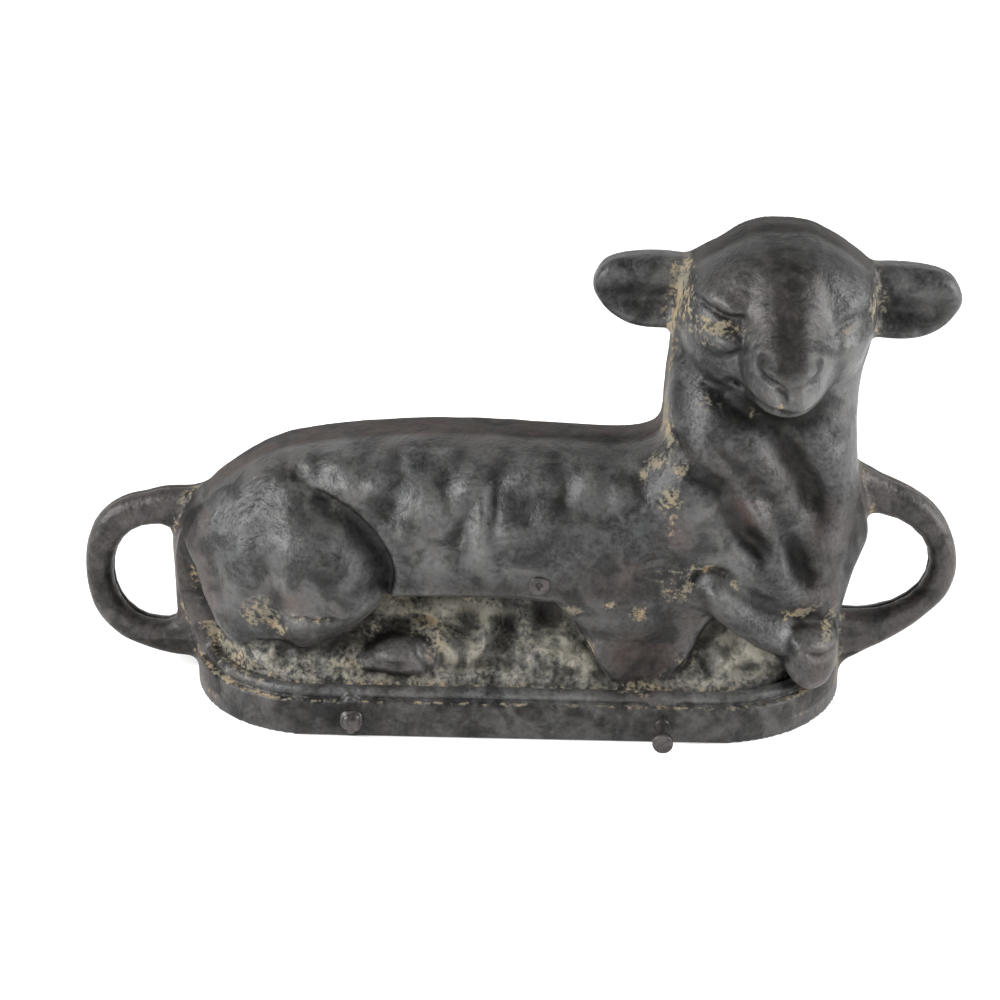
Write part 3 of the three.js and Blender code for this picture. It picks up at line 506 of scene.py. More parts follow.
def ground_relief(depths):
    """Lumps, cracks and pits of the ground under the belly and beside the legs."""
    carve(depths, [
        ([(-44, 41), (-38, 40), (-32, 37.5), (-26, 36.3), (-19, 33.2), (-12.5, 30.5)], 1.1, 2.4),
        ([(20, 41), (26, 33), (33, 26), (40, 20.5)], 2.0, 2.2),
        ([(60, 23), (67, 29.5), (73, 36), (79, 41)], 1.8, 1.8),
    ], [
        (-17.5, 37, 5, 5.5, -5.5), (-1, 36.5, 5, 6, -5.5), (13, 41, 7, 4.5, -4), (8, 33, 4, 3.5, -2.5),
        (-9, 36, 3, 6, 2.6), (6, 41, 3, 4, 2), (-30, 41, 9, 4, 1.8), (-40, 42, 6, 4, 2.2),
        (-24, 30, 8, 3, 1.2), (5, 26, 12, 3, 1.0), (-12, 24, 10, 2.5, -1.4), (18, 30, 5, 6, 1.4),
        (-36, 38.5, 8, 1.4, -2.2), (84, 28, 7, 5, 1.6), (72, 26, 4, 5, -1.5), (66, 24, 4, 4, -1.0),
        (93, 23, 6, 3, -1.4), (-66, 24, 6, 3, 1.0), (-78, 21.5, 5, 2.5, -1.2), (-96, 24, 6, 3, 1.4),
    ])
    return depths + 0.9 * noise_map(6, 91) + 0.5 * noise_map(2.6, 92)


def muzzle_form():
    """Bridge and muzzle: one long form down the face, read at each height."""
    crest = [(190, 8), (184, 19), (180, 31), (176, 39.5), (170, 48), (163, 55.8), (157, 63), (152, 69),
             (149, NOSE_REACH - 1.0), (146.5, NOSE_REACH - SKIN), (143, NOSE_REACH - 0.8), (139, 70.4),
             (136, 69), (133.6, 66.6), (131.6, 64), (129.8, 59), (127.8, 50), (125.4, 40), (122, 30)]
    half_width = [(190, 12), (178, 14), (168, 16), (160, 18.5), (154, 20), (148, 20), (142, 19), (136, 17.5),
                  (132, 15.5), (128, 12.5), (124, 9), (120, 6)]
    middle = [(190, 95), (176, 95.3), (162, 95.6), (146, 96), (130, 96.3), (120, 96.5)]
    across = np.abs(X - profile(middle, Z)) / profile(half_width, Z)
    rise = np.maximum(1 - np.clip(across, 0, 1) ** 2.1, 0) ** 0.72
    floor = 26.0
    within = (Z > 120) & (Z < 190) & (across < 1)
    return np.where(within, floor + (profile(crest, Z) - floor) * rise, 0)


def face(depths):
    depths = smooth_max(depths, dome(94, 158, 37.5, 28, 35, 0, 49, 0.34), 5)
    depths = smooth_max(depths, dome(79, 150, 22, 20, 25, 0.35, 47.5, 0.5), 11)
    depths = smooth_max(depths, dome(112, 151, 18, 19, 24, -0.2, 47.5, 0.5), 11)
    depths = smooth_max(depths, muzzle_form(), 9)
    # lids, the creases under them, and the eye hollows
    carve(depths, [
        ([(64.5, 165.2), (68, 163.2), (72, 161.6), (76, 160.8), (80, 161.6)], 1.2, 3.0),
        ([(113.5, 158.2), (117, 159.6), (121, 160.8), (125.5, 161.2)], 1.2, 1.8),
        ([(66, 149), (70, 147.4), (75, 147.8), (79, 150), (80.8, 153.5)], 1.8, 0.8),
        ([(79.5, 157), (80.6, 153.5), (78.5, 149.5), (73, 147.8)], 1.2, 1.1),
    ], [
        (71, 166.6, 6.6, 3.2, 2.6, -0.2), (76, 163.8, 4, 2.2, 1.1, -0.4), (119.5, 165, 6, 3.4, 2.0, 0.16),
        (75, 158.4, 6.5, 2.2, -2.0), (71.5, 153.2, 7.5, 3.4, 1.5, 0.1), (118, 156.5, 6, 2.4, -1.4),
        (81, 160, 3, 2.6, -1.6), (111.5, 157.5, 2.8, 4.0, -1.4), (82.5, 171, 4, 6, -0.8),
        (109.5, 171, 4, 6, -0.8), (74.5, 153.5, 6.5, 2.6, 1.5, -0.1), (118, 151, 5.5, 2.6, 1.2),
        (68, 174, 6, 3.5, 0.9),
    ])
    # nose
    carve(depths, [
        ([(88.4, 152.6), (86.4, 151.8), (85.5, 149.4), (86.8, 147.0), (89.6, 146.2)], 1.2, 3.6),
        ([(104.6, 151.6), (106.4, 150.4), (106.6, 148.2), (104.6, 146.6), (102, 146)], 1.2, 3.6),
        ([(88.5, 145.8), (91.8, 145.2), (94.6, 142.6), (95.4, 139.5)], 1.1, 2.2),
        ([(104.0, 146.4), (101.0, 145.2), (98.2, 144.2), (95.8, 142.4)], 1.1, 0.9),
    ], [
        (89.4, 149.0, 2.7, 2.2, 2.3), (102.6, 149.0, 2.8, 2.2, 2.3), (96, 149, 3.0, 3, -0.5),
    ])
    # lips, mouth and chin
    carve(depths, [
        ([(76, 138), (80, 136), (84, 134.8), (88.5, 134), (92.5, 134.4), (97, 133.6)], 1.3, 4.2),
        ([(95, 133.6), (100, 133.0), (104.5, 133.8)], 1.2, 2.0),
    ], [
        (88, 139.6, 5.6, 4.0, 1.3), (102.6, 139.2, 5.2, 3.6, 1.3), (91.8, 137.4, 2.2, 2.0, 1.7),
        (100.4, 136.6, 3.0, 2.2, 1.9), (86, 131.5, 8, 2.2, 0.9), (79, 139.5, 4.4, 5.0, 0.8),
        (112, 139.5, 4.2, 5.0, 0.7),
    ])
    # cheeks and jaw
    carve(depths, [
        ([(70, 133.5), (75, 130), (80, 126.5), (86, 123.2), (94, 121.5), (103, 122.5), (111, 126)], 4.2, 3.4),
        ([(61, 138), (66, 135), (71, 132.5)], 3.0, 1.0),
    ], [
        (70, 138, 8, 7, 1.6), (67, 156, 9, 5, 0.8),
    ])
    return depths


def neck_folds(depths):
    """The neck's muscles and the folds that run down the chest."""
    carve(depths, [
        ([(58, 114), (61, 108), (66, 102.5), (72, 98.5), (79, 96.5)], 4.2, 3.0),
        ([(88, 122), (94, 116), (99, 109), (103.5, 101.5), (107, 93.5), (108.5, 87)], 5.6, 6.5),
        ([(70, 121), (76, 112), (83, 104.5), (90, 98), (95, 90)], 3.2, 1.2),
        ([(76, 92), (80, 84), (85.5, 76.5), (91, 71.5)], 5.0, 3.4),
        ([(97, 80), (101.5, 71), (104.5, 63.5), (108.5, 58.5)], 4.8, 3.6),
        ([(109, 117), (116, 106), (120, 94), (118.5, 80), (113.5, 66), (107, 52)], 6, -2.8),
        ([(82, 97), (88.5, 87), (94, 78), (98.5, 67), (101.5, 56)], 3.6, -3.0),
        ([(68, 94), (74, 84), (80, 71), (86, 62)], 4.6, -1.8),
        ([(66, 126), (72, 117), (80, 110), (88, 104)], 4.6, -1.4),
        ([(56, 112), (51, 104), (44, 98)], 7.5, 1.3),
    ], [
        (84.5, 75.5, 7, 5.5, -1.2, -0.6), (90.5, 70.5, 6, 4.6, -1.3, -0.6), (101.5, 68, 5, 6, -1.2, -0.6),
        (108, 58.5, 5.5, 4.6, -1.6, -0.6), (96, 63, 4.5, 4.5, 1.6, -0.6), (56.5, 73, 6, 6.5, 1.8, -0.6),
        (64, 83, 5.5, 8, 1.5, -0.6), (50, 90, 5, 7, 1.0, -0.6), (63, 66, 4, 3.4, -1.0, -0.6),
        (112, 84, 4.6, 6, -1.0, -0.6), (100, 92, 5, 5, -0.6, -0.6), (112, 75, 5, 9, 1.0, -0.6),
        (66, 108, 5, 6, 1.2, -0.6), (118, 112, 5, 8, 1.0, -0.6),
    ])


def rounded_forms(shares, k):
    """The lamb's swellings in one, standing on the rim."""
    depths = np.full(X.shape, RIM_DEPTH)
    for share in shares:
        depths = smooth_max(depths, body_dome(share), k)
    return depths


def shown(depths, ground):
    """Where the ground is what shows, as a share."""
    return bell(np.maximum(depths - ground, 0), 1.3) * smooth_step(58, 52, Z)


def front_depths():
    """The lamb's near side: body, legs and face, with the ground it lies on."""
    edge = np.array(body_edge(), float)
    body = body_map()
    body = smooth_max(body, body_dome(body_shares["neck"]), 7)
    fleece(body)
    neck_folds(body)
    under = np.maximum(-signed_distance(edge, X, Z), 0)
    knee = smooth_step(40, 22, Z) * smooth_step(12, 24, X) * smooth_step(84, 70, X)
    body = np.minimum(body, 31 + 16 * knee + (21 - 12 * knee) * rolled(under, 11 + 4 * knee))
    body = body - 3 * smooth_step(24, 0, under) * smooth_step(60, 40, Z) * (1 - knee)
    body = np.where(under > 0, body, 0)
    depths = smooth_max(np.full(X.shape, RIM_DEPTH), body, 3)
    depths = smooth_max(depths, head_dome(skull_share), 6)
    ground = ground_relief(ground_map())
    depths = smooth_max(depths, ground, 1.5)
    depths = thigh(depths)
    depths = front_legs(depths)
    depths = hind_hoof(depths)
    depths = blurred(face(depths), 0.45)
    return depths, shown(depths, ground)


def rear_depths():
    """The lamb's far side: the same body and the back of the head, with broad soft folds."""
    depths = rounded_forms(body_shares.values(), 6)
    depths = smooth_max(depths, head_dome(skull_share), 6)
    fleece(depths)
    ground = ground_map(46, 38)
    depths = smooth_max(depths, ground, 2)
    carve(depths, [
        ([(-50, 84), (-44, 72), (-43, 60), (-50, 48)], 3.2, 2.4),
        ([(50, 112), (60, 102), (70, 92)], 3.0, 1.8),
        ([(28, 60), (40, 50), (52, 44)], 3.2, 1.8),
        ([(72, 132), (84, 126), (98, 125), (112, 130)], 3.4, 2.0),
        ([(80, 112), (92, 100), (104, 86)], 3.2, 1.8),
    ])
    for n in range(26):
        x, z = 60 + 9.5 * (n % 7) + 3 * math.sin(n), 92 + 21 * (n // 7) + 5 * math.cos(2.1 * n)
        bump(depths, x, z, 5.5, 4.2, 1.1 * math.cos(1.7 * n), n)
    return depths, shown(depths, ground)


def casting_skin(depths, seed):
    """The unevenness of sand-cast iron."""
    depths = depths + 0.32 * noise_map(9, seed)
    return depths + 0.14 * noise_map(3.4, seed + 1) + 0.05 * noise_map(1.5, seed + 2)


def ear_depths(ear, seed):
    """An ear's outer side: rounded above, with a long shallow hollow in its lower half."""
    u = ear["side"] * (X - ear["x"]) / EAR_LENGTH
    v = (Z - ear["z"] + ear["droop"] * EAR_LENGTH * np.clip(u, 0, 1)) / EAR_HALF_WIDTH
    swell = 2.0 * np.exp(-((u - 0.6) / 0.4) ** 2 - ((v - 0.45) / 0.36) ** 2)
    hollow = 4.6 * np.exp(-((u - 0.5) / 0.36) ** 2 - ((v + 0.2) / 0.36) ** 2)
    return EAR_DEPTH - 1.8 + swell - hollow + 0.15 * noise_map(5, seed)


class Side:
    """All maps of one half: the lamb's depths with their slope factor, and every outline's distance."""

    def __init__(self, forms, draft, seed, mounds=()):
        depths, self.ground = forms
        self.draft = draft
        self.mounds = mounds
        self.relief = casting_skin(depths, seed)
        self.coarse = blurred(np.minimum(depths, NOSE_REACH), 2.0)
        self.lean = self.slope_factor(self.relief)
        self.coarse_lean = self.slope_factor(self.coarse)
        self.left_ear = ear_depths(left_ear, seed + 7)
        self.right_ear = ear_depths(right_ear, seed + 8)
        self.lumps = noise_map(7, seed + 5)
        self.recess = blurred(depths, 3.2) - depths
        self.fine_recess = blurred(depths, 1.1) - depths

    @staticmethod
    def slope_factor(depths):
        gx, gz = np.gradient(blurred(depths, 0.6), MAP_STEP)
        return 1 / np.sqrt(1 + np.minimum(gx * gx + gz * gz, 9))


outlines = {
    "lamb": signed_distance(lamb_outline(), X, Z),
    "left_ear": signed_distance(ear_outline(left_ear), X, Z),
    "right_ear": signed_distance(ear_outline(right_ear), X, Z),
    "tail_loop": loop_distance(tail_loop),
    "chest_loop": loop_distance(chest_loop),
}


def sampled(side, x, z):
    """Every map read at some places, ready for the fields below."""
    names = ("relief", "coarse", "lean", "coarse_lean", "left_ear", "right_ear", "lumps")
    spot = {name + "_map": look(getattr(side, name), x, z) for name in names}
    spot["draft"] = side.draft
    spot["mounds"] = side.mounds
    spot.update({name: look(distance, x, z) for name, distance in outlines.items()})
    spot["x"], spot["z"] = x, z
    return spot


def plinth_plan(x, depth):
    """Signed distance from the plinth's plan, straight along its front and round at its ends."""
    u = np.maximum(np.abs(x) - (PLINTH_HALF - PLINTH_END), 0) / PLINTH_END
    w = np.maximum(depth, 0) / PLINTH_REACH
    r = np.sqrt(u * u + w * w) + 1e-9
    return (r - 1) * r / np.sqrt((u / PLINTH_END) ** 2 + (w / PLINTH_REACH) ** 2 + 1e-12)


EARS = ("left_ear", "right_ear")
LOOPS = ("tail_loop", "chest_loop")


def leaning(spot, name, depth):
    """Distance from an outline's side wall, which leans in by the half's draft."""
    draft = spot["draft"]
    return (spot[name] + draft * depth) / math.sqrt(1 + draft * draft)


def outer_field(spot, depth):
    """Signed distance, about, from the outside of one half: negative in the iron or the hollow behind it."""
    x, z = spot["x"], spot["z"]
    lamb = smooth_max(leaning(spot, "lamb", depth) + SKIN + 0.15 * spot["lumps_map"],
                      (depth - spot["relief_map"]) * spot["lean_map"], 5.0)
    left, right = (smooth_max(leaning(spot, ear, depth) + SKIN, depth - spot[ear + "_map"], 4.5)
                   for ear in EARS)
    ears = smooth_min(left, right, 0.5)
    plan = plinth_plan(x, depth)
    slab = smooth_max(plan + SKIN + 0.12 * spot["lumps_map"], z - PLINTH_HEIGHT, 1.6)
    bead_at = -(BEAD_SETBACK + BEAD_RADIUS)
    bead_z = PLINTH_HEIGHT + BEAD_RADIUS - 0.7
    bead = np.sqrt((plan - bead_at) ** 2 + (z - bead_z) ** 2) - BEAD_RADIUS + 0.1 * spot["lumps_map"]
    behind_bead = np.maximum(plan - bead_at, z - bead_z - BEAD_RADIUS * 0.1)
    plinth = smooth_min(smooth_min(slab, bead, 0.5), behind_bead, 0.5)
    for at, at_z, wide, out, tall in spot["mounds"]:
        ahead = (depth - PLINTH_REACH + 0.8) / out
        mound = np.sqrt(((x - at) / wide) ** 2 + ahead ** 2 + ((z - at_z) / tall) ** 2)
        plinth = smooth_min(plinth, (mound - 1) * out, 1.6)
    loops = []
    for name in LOOPS:
        across = np.maximum(spot[name] + ROD_HALF_WIDTH + 0.15, 0) / ROD_HALF_WIDTH
        bar = (np.sqrt(across**2.4 + (np.maximum(depth, 0) / ROD_HALF_DEPTH) ** 2.4) ** (2 / 2.4) - 1)
        loops.append(bar * ROD_HALF_WIDTH + 0.15 * spot["lumps_map"])
    loop = np.minimum(*loops)
    whole = smooth_min(lamb, ears, 3.5)
    whole = smooth_min(whole, plinth, 1.8)
    whole = smooth_min(whole, loop, 5)
    return np.maximum(smooth_max(whole, 0.05 - depth, 0.9), 0.02 - z)


def hollow_field(spot, depth):
    """The same for the hollow inside: negative in the hollow."""
    lamb = smooth_max(leaning(spot, "lamb", depth) + WALL,
                      (depth - spot["coarse_map"]) * spot["coarse_lean_map"] + WALL, 5)
    plan = plinth_plan(spot["x"], depth)
    plinth = smooth_max(plan + WALL, spot["z"] - PLINTH_HEIGHT, 2)
    left, right = (smooth_max(spot[ear] + WALL, depth - EAR_DEPTH + WALL + 3.5, 3) for ear in EARS)
    ears = smooth_min(left, right, 0.5)
    hollow = smooth_min(smooth_min(lamb, plinth, 4), ears, 3)
    return smooth_max(hollow, WALL - spot["z"], 2)


# Meshes from the fields

def surface_net(values, origin, step):
    """Vertices and quads of the surface where a gridded field changes sign, facing where it is positive."""
    inside = values < 0
    cells = [slice(None, -1), slice(1, None)]
    corners = [(a, b, c) for a in (0, 1) for b in (0, 1) for c in (0, 1)]
    count = sum(inside[cells[a], cells[b], cells[c]].astype(np.int8) for a, b, c in corners)
    active = np.argwhere((count > 0) & (count < 8))
    index = np.full(count.shape, -1, np.int32)
    index[tuple(active.T)] = np.arange(len(active))
    at_corner = {c: values[tuple((active + c).T)] for c in corners}
    total = np.zeros((len(active), 3))
    crossings = np.zeros(len(active))
    for low in corners:
        for axis in range(3):
            if low[axis]:
                continue
            high = tuple(1 if n == axis else low[n] for n in range(3))
            a, b = at_corner[low], at_corner[high]
            crosses = (a < 0) != (b < 0)
            share = np.where(crosses, a / np.where(crosses, a - b, 1), 0)
            point = np.array(low, float) + share[:, None] * (np.arange(3) == axis)
            total += np.where(crosses[:, None], point, 0)
            crossings += crosses
    vertices = np.array(origin) + step * (active + total / crossings[:, None])
    quads = []
    for axis in range(3):
        along, up = (axis + 1) % 3, (axis + 2) % 3
        low = inside[tuple(slice(None, -1) if n == axis else slice(1, -1) for n in range(3))]
        high = inside[tuple(slice(1, None) if n == axis else slice(1, -1) for n in range(3))]
        edges = np.argwhere(low != high)
        solid_below = low[tuple(edges.T)]
        edges = edges + np.array([0 if n == axis else 1 for n in range(3)])
        back_along, back_up = np.eye(3, dtype=int)[along], np.eye(3, dtype=int)[up]
        around = [edges, edges - back_along, edges - back_along - back_up, edges - back_up]
        quad = np.stack([index[tuple(place.T)] for place in around], 1)
        quad[~solid_below] = quad[~solid_below][:, ::-1]
        quads.append(quad)
    return vertices, np.vstack(quads)


def settled(side, places, rounds=2, reach=0.9):
    """Moves points onto the exact outer surface, along its slope."""
    for _ in range(rounds):
        nudge = 0.2
        value = outer_field(sampled(side, places[:, 0], places[:, 2]), places[:, 1])
        slope = []
        for axis in range(3):
            ahead = places.copy()
            ahead[:, axis] += nudge
            slope.append((outer_field(sampled(side, ahead[:, 0], ahead[:, 2]), ahead[:, 1]) - value) / nudge)
        slope = np.stack(slope, 1)
        move = -value[:, None] * slope / np.maximum((slope**2).sum(1), 0.15)[:, None]
        size = np.linalg.norm(move, axis=1, keepdims=True) + 1e-12
        places = places + move * np.minimum(1, reach / size)
    return places


def cast_half(side, extra_cut=None):
    """Vertices (x, depth, z) and quads of one half's shell, and which vertices are on its hollow side."""
    step = GRID_STEP
    gx = np.arange(-LOOP_TIP - 2 * step, LOOP_TIP + 3 * step, step) + GRID_SHIFTS[0]
    gd = np.arange(-2 * step, NOSE_REACH + 3 * step, step) + GRID_SHIFTS[1]
    gz = np.arange(-2 * step, HEAD_TOP + 3 * step, step) + GRID_SHIFTS[2]
    x, z = np.meshgrid(gx, gz, indexing="ij")
    spot = sampled(side, x, z)
    values = np.empty((len(gx), len(gd), len(gz)), np.float32)
    for n, depth in enumerate(gd):
        plane = np.full(x.shape, depth)
        shell = np.maximum(outer_field(spot, plane), -hollow_field(spot, plane))
        if extra_cut:
            shell = np.maximum(shell, -extra_cut(x, plane, z))
        values[:, n] = shell
    places, quads = surface_net(values, (gx[0], gd[0], gz[0]), step)
    spot = sampled(side, places[:, 0], places[:, 2])
    out = np.abs(outer_field(spot, places[:, 1]))
    within = np.abs(hollow_field(spot, places[:, 1]))
    hollow_side = within < out
    if extra_cut:
        fixed = np.abs(extra_cut(places[:, 0], places[:, 1], places[:, 2])) < step
    else:
        fixed = np.zeros(len(places), bool)
    outer = ~hollow_side & ~fixed & (out < 1.2 * step)
    places[outer] = settled(side, places[outer])
    return places, quads, hollow_side


def new_mesh(name, vertices, faces):
    """A mesh object from vertices in millimetres, in the shared frame."""
    mesh = bpy.data.meshes.new(name)
    mesh.from_pydata((np.asarray(vertices) * MM).tolist(), [], [list(f) for f in faces])
    mesh.update()
    mesh.polygons.foreach_set("use_smooth", [True] * len(mesh.polygons))
    piece = bpy.data.objects.new(name, mesh)
    bpy.context.scene.collection.objects.link(piece)
    return piece


def coarsened(piece, hollow_side, keep):
    """Makes the hollow's surface coarser, since its shape is plain."""
    group = piece.vertex_groups.new(name="hollow")
    group.add(np.flatnonzero(hollow_side).tolist(), 1.0, "REPLACE")
    modifier = piece.modifiers.new("coarser_hollow", "DECIMATE")
    share = float(hollow_side.mean())
    modifier.ratio = 1 - share * (1 - keep)
    modifier.vertex_group = "hollow"
    modifier.use_collapse_triangulate = False
    apply_modifiers(piece)
    piece.vertex_groups.clear()


def apply_modifiers(piece):
    """Replaces a piece's mesh by the one that its modifiers make."""
    graph = bpy.context.evaluated_depsgraph_get()
    made = bpy.data.meshes.new_from_object(piece.evaluated_get(graph), depsgraph=graph)
    piece.modifiers.clear()
    old = piece.data
    piece.data = made
    bpy.data.meshes.remove(old)


def mesh_places(piece):
    """A mesh's vertices as (x, y, z) in millimetres."""
    places = np.empty(len(piece.data.vertices) * 3, np.float32)
    piece.data.vertices.foreach_get("co", places)
    return places.reshape(-1, 3).astype(float) / MM


def add_mask(piece, name, values):
    layer = piece.data.attributes.new(name, "FLOAT", "POINT")
    layer.data.foreach_set("value", np.clip(values, 0, 1).astype(np.float32))


# Where dirt, brown staining, rubbed edges, painted highlights and painted shade lie, as maps over the meeting
# plane

# Tan deposits: place, half sizes, strength and turn
front_deposits = [
    (-112, 22, 9, 4, 0.9, -0.5), (-100, 21, 7, 3, 0.7, -0.3), (-94, 43, 6, 5, 0.75, 0.3),
    (-87, 38, 4, 4, 0.6), (-70, 46, 6, 1.6, 0.5, 0.1), (-121, 44, 1.6, 9, 0.5, 0.1),
    (-41, 45, 9, 4, 0.7, -0.4), (-33, 38, 6, 4, 0.75, 0.2), (-28, 30, 4, 5, 0.6),
    (-50, 36, 7, 3, 0.45, 0.4), (-62, 24, 8, 3, 0.45), (-16, 45, 5, 3, 0.4, 0.2),
    (53.5, 119, 2.6, 6, 0.95, 0.1), (55.5, 111, 3, 3.5, 0.8), (51, 102, 4.5, 1.8, 0.85, 0.5),
    (47, 98, 1.6, 4, 0.7, -0.3), (60, 103, 4, 3, 0.6, 0.3), (56.5, 92, 4, 4, 0.8, 0.5),
    (57, 82, 3, 4, 0.45), (61, 57, 5, 4.5, 0.75, 0.6), (56, 63, 4, 3, 0.45, 0.4),
    (69, 65, 6, 2, 0.6, 0.2), (80, 60, 6, 1.6, 0.35, -0.6), (107, 47.5, 5, 2, 0.9, 0.5),
    (116, 41, 2.4, 5, 0.75, -0.3), (100, 46, 3, 1.6, 0.5, -0.2), (59, 165, 3.5, 12, 0.85, 0.1),
    (58, 178, 4, 3, 0.8), (56, 150, 2.6, 8, 0.5), (55, 135, 2.4, 8, 0.35), (73, 157.5, 7, 2.2, 0.8),
    (66, 152, 5, 2.4, 0.4), (117, 157, 6, 2, 0.3), (127, 160, 2.4, 7, 0.45), (20.5, 48, 4, 2, 0.85, 0.1),
    (35, 50.5, 2.4, 1.6, 0.9), (46, 47.5, 2.6, 2.4, 0.95, 0.5), (5, 49, 5, 1.8, 0.3),
    (86, 125, 6, 2, 0.35, 0.3), (64, 27.5, 4, 4, 0.5, 0.8), (28, 32, 3, 5, 0.4, -0.7),
    (44, 18.5, 8, 2, 0.35), (92.5, 138, 1.4, 1.4, 0.9), (99.5, 128.5, 1.4, 1.6, 1.0, 0.5),
    (120, 30, 2, 6, 0.4), (70, 128, 5, 3, 0.3),
]
# Pale grey bloom, in the same way
front_bloom = [
    (-44, 42, 8, 4, 0.9, -0.2), (-28, 42, 8, 4, 0.8, -0.2), (-20, 28, 9, 3, 0.5), (84, 30, 10, 6, 1.0),
    (72, 33, 5, 5, 0.7, 0.6), (95, 24, 8, 3, 0.5), (16, 38, 9, 7, 0.8, -0.4), (22, 28, 10, 5, 0.7, -0.5),
    (-8, 40, 6, 4, 0.7), (-25, 44, 8, 3, 0.55, -0.3), (-20, 27, 12, 4, 0.5), (-92, 48, 5, 4, 0.8, 0.4),
    (-80, 46, 6, 2.4, 0.8, 0.1), (-67, 45, 6, 2.6, 0.55, 0.1), (-48, 22, 12, 3, 0.35),
    (-30, 40, 9, 2, 0.5, -0.35), (65, 60, 4, 5, 0.35), (-64, 88, 4, 4, 0.35), (86, 118, 6, 3, 0.25, 0.3),
]
# Brown staining, in the same way
front_stains = [
    (-64, 34, 18, 4.5, 1.0, 0.2), (-82, 52, 8, 5, 0.9), (48, 30, 14, 9, 0.9), (113, 27, 7, 8, 0.8),
    (-42, 25, 14, 8, 0.5), (47, 26, 12, 9, 0.8), (0, 108, 60, 4, 0.9), (84, 90, 8, 14, 0.6, 0.5),
    (40, 62, 14, 8, 0.5), (10, 55, 40, 3.5, 0.4), (-95, 100, 24, 5, 1.0, 0.5), (80, 168, 14, 10, 0.3),
    (100, 100, 6, 14, 0.5, 0.5), (60, 78, 5, 6, 0.6), (-112, 45, 4, 16, 0.5, 0.1), (96, 165, 9, 14, 0.5),
    (66, 44, 8, 6, 0.5),
]
# Painted shade, with some black grime, in the same way: darkening under the chin and jaw, along the belly
# line, in the nose and mouth creases, by the thigh, on the knee, and on the bridge and head top
front_shade_and_grime = [
    (96, 166, 8, 15, 0.8), (96, 152, 7, 5, 0.4), (85.8, 149.6, 1.3, 2.6, 1.2),
    (106.2, 149, 1.3, 2.2, 1.2), (89.6, 146, 3.2, 1.0, 1.0, -0.2), (94.2, 142.6, 1.0, 2.6, 0.9, 0.3),
    (100.5, 145, 4, 0.8, 0.6, 0.2), (82, 135.4, 4, 1.3, 1.4, -0.3), (90, 134.2, 4.4, 1.3, 1.6),
    (98, 133.4, 3.6, 0.9, 0.9), (96, 121, 15, 7, 1.0), (80, 126, 9, 5, 0.7, -0.5),
    (102, 101, 6.5, 18, 0.75, 0.5), (34, 107, 16, 7, 1.0), (24, 90, 12, 8, 0.3),
    (-65, 84, 9, 4.5, 1.0, -0.4), (-54, 76, 6, 9, 1.1, 0.6), (-48, 64, 4.5, 9, 1.0, 0.1),
    (47, 26, 13, 11, 1.0), (46, 42, 16, 7, 0.35), (0, 54, 44, 5, 0.35), (0, 47.5, 44, 2, 0.5),
    (10, 58, 50, 5, 0.35), (-42, 47, 10, 2, 0.4), (94, 182, 26, 9, 0.55), (96, 160, 7, 10, 0.6),
    (80, 178, 12, 8, 0.3), (110, 176, 10, 8, 0.3), (114, 27, 7, 8, 0.35), (90, 128, 12, 4, 0.8),
    (40, 113, 14, 3, 0.7), (-50, 88, 6, 3.5, 0.5, -0.6), (26, 40, 3, 8, 0.5, 0.6),
    (66, 33, 3, 7, 0.5, -0.6), (72, 24, 6, 4, 0.5), (-52, 24, 5, 5, 0.5), (34, 24, 3, 5, 0.4, 0.7),
    (-66, 34, 17, 6, 0.9, 0.2), (-84, 52, 6, 5, 0.4), (97, 138, 3, 3, 0.3), (84, 136, 5, 4, 0.3),
    (-66, 62, 3, 3, 0.5), (88, 74, 5, 5, 0.5), (103, 64, 4, 8, 0.5, 0.4), (85, 44, 8, 3, 0.6, -0.6),
    (-17, 36, 5, 6, 0.7), (-1, 36, 5, 6, 0.7), (10, 38, 6, 5, 0.5), (-12, 23, 22, 2.5, 0.7),
    (84, 22.5, 12, 2.2, 0.5), (-41, 26, 9, 5, 0.4), (-76, 96, 7, 5, 0.3), (-20, 100, 8, 6, 0.3),
    (5, 105, 8, 5, 0.3), (77, 160.5, 4, 1.5, 0.7, -0.1), (68, 110, 5, 8, 0.3, 0.4),
]
rear_grime = [
    (0, 96, 60, 8, 0.4), (90, 120, 16, 6, 0.5), (-70, 70, 12, 14, 0.3), (40, 50, 16, 6, 0.4),
]
rear_deposits = [
    (-104, 24, 12, 4, 0.6, -0.3), (-60, 22, 16, 3, 0.4), (20, 23, 20, 3, 0.5), (96, 24, 12, 4, 0.6, 0.3),
    (56, 104, 3, 10, 0.5, 0.1), (60, 160, 4, 12, 0.5), (126, 158, 3, 10, 0.5), (-20, 44, 22, 2.4, 0.35),
]
rear_bloom = [
    (-70, 30, 18, 6, 0.5), (30, 32, 24, 6, 0.5), (90, 34, 14, 6, 0.4), (-10, 70, 20, 12, 0.2),
]
rear_stains = [
    (0, 106, 70, 6, 0.9), (-95, 96, 24, 8, 0.8, 0.5), (90, 110, 20, 30, 0.4, 0.4), (-70, 50, 26, 12, 0.5),
    (40, 60, 30, 10, 0.4), (95, 160, 24, 18, 0.4),
]


def spots_map(spots):
    """A map of soft spots, where they overlap no stronger than 1.2."""
    total = np.zeros(X.shape)
    for spot in spots:
        bump(total, *spot)
    return np.clip(total, 0, 1.2)


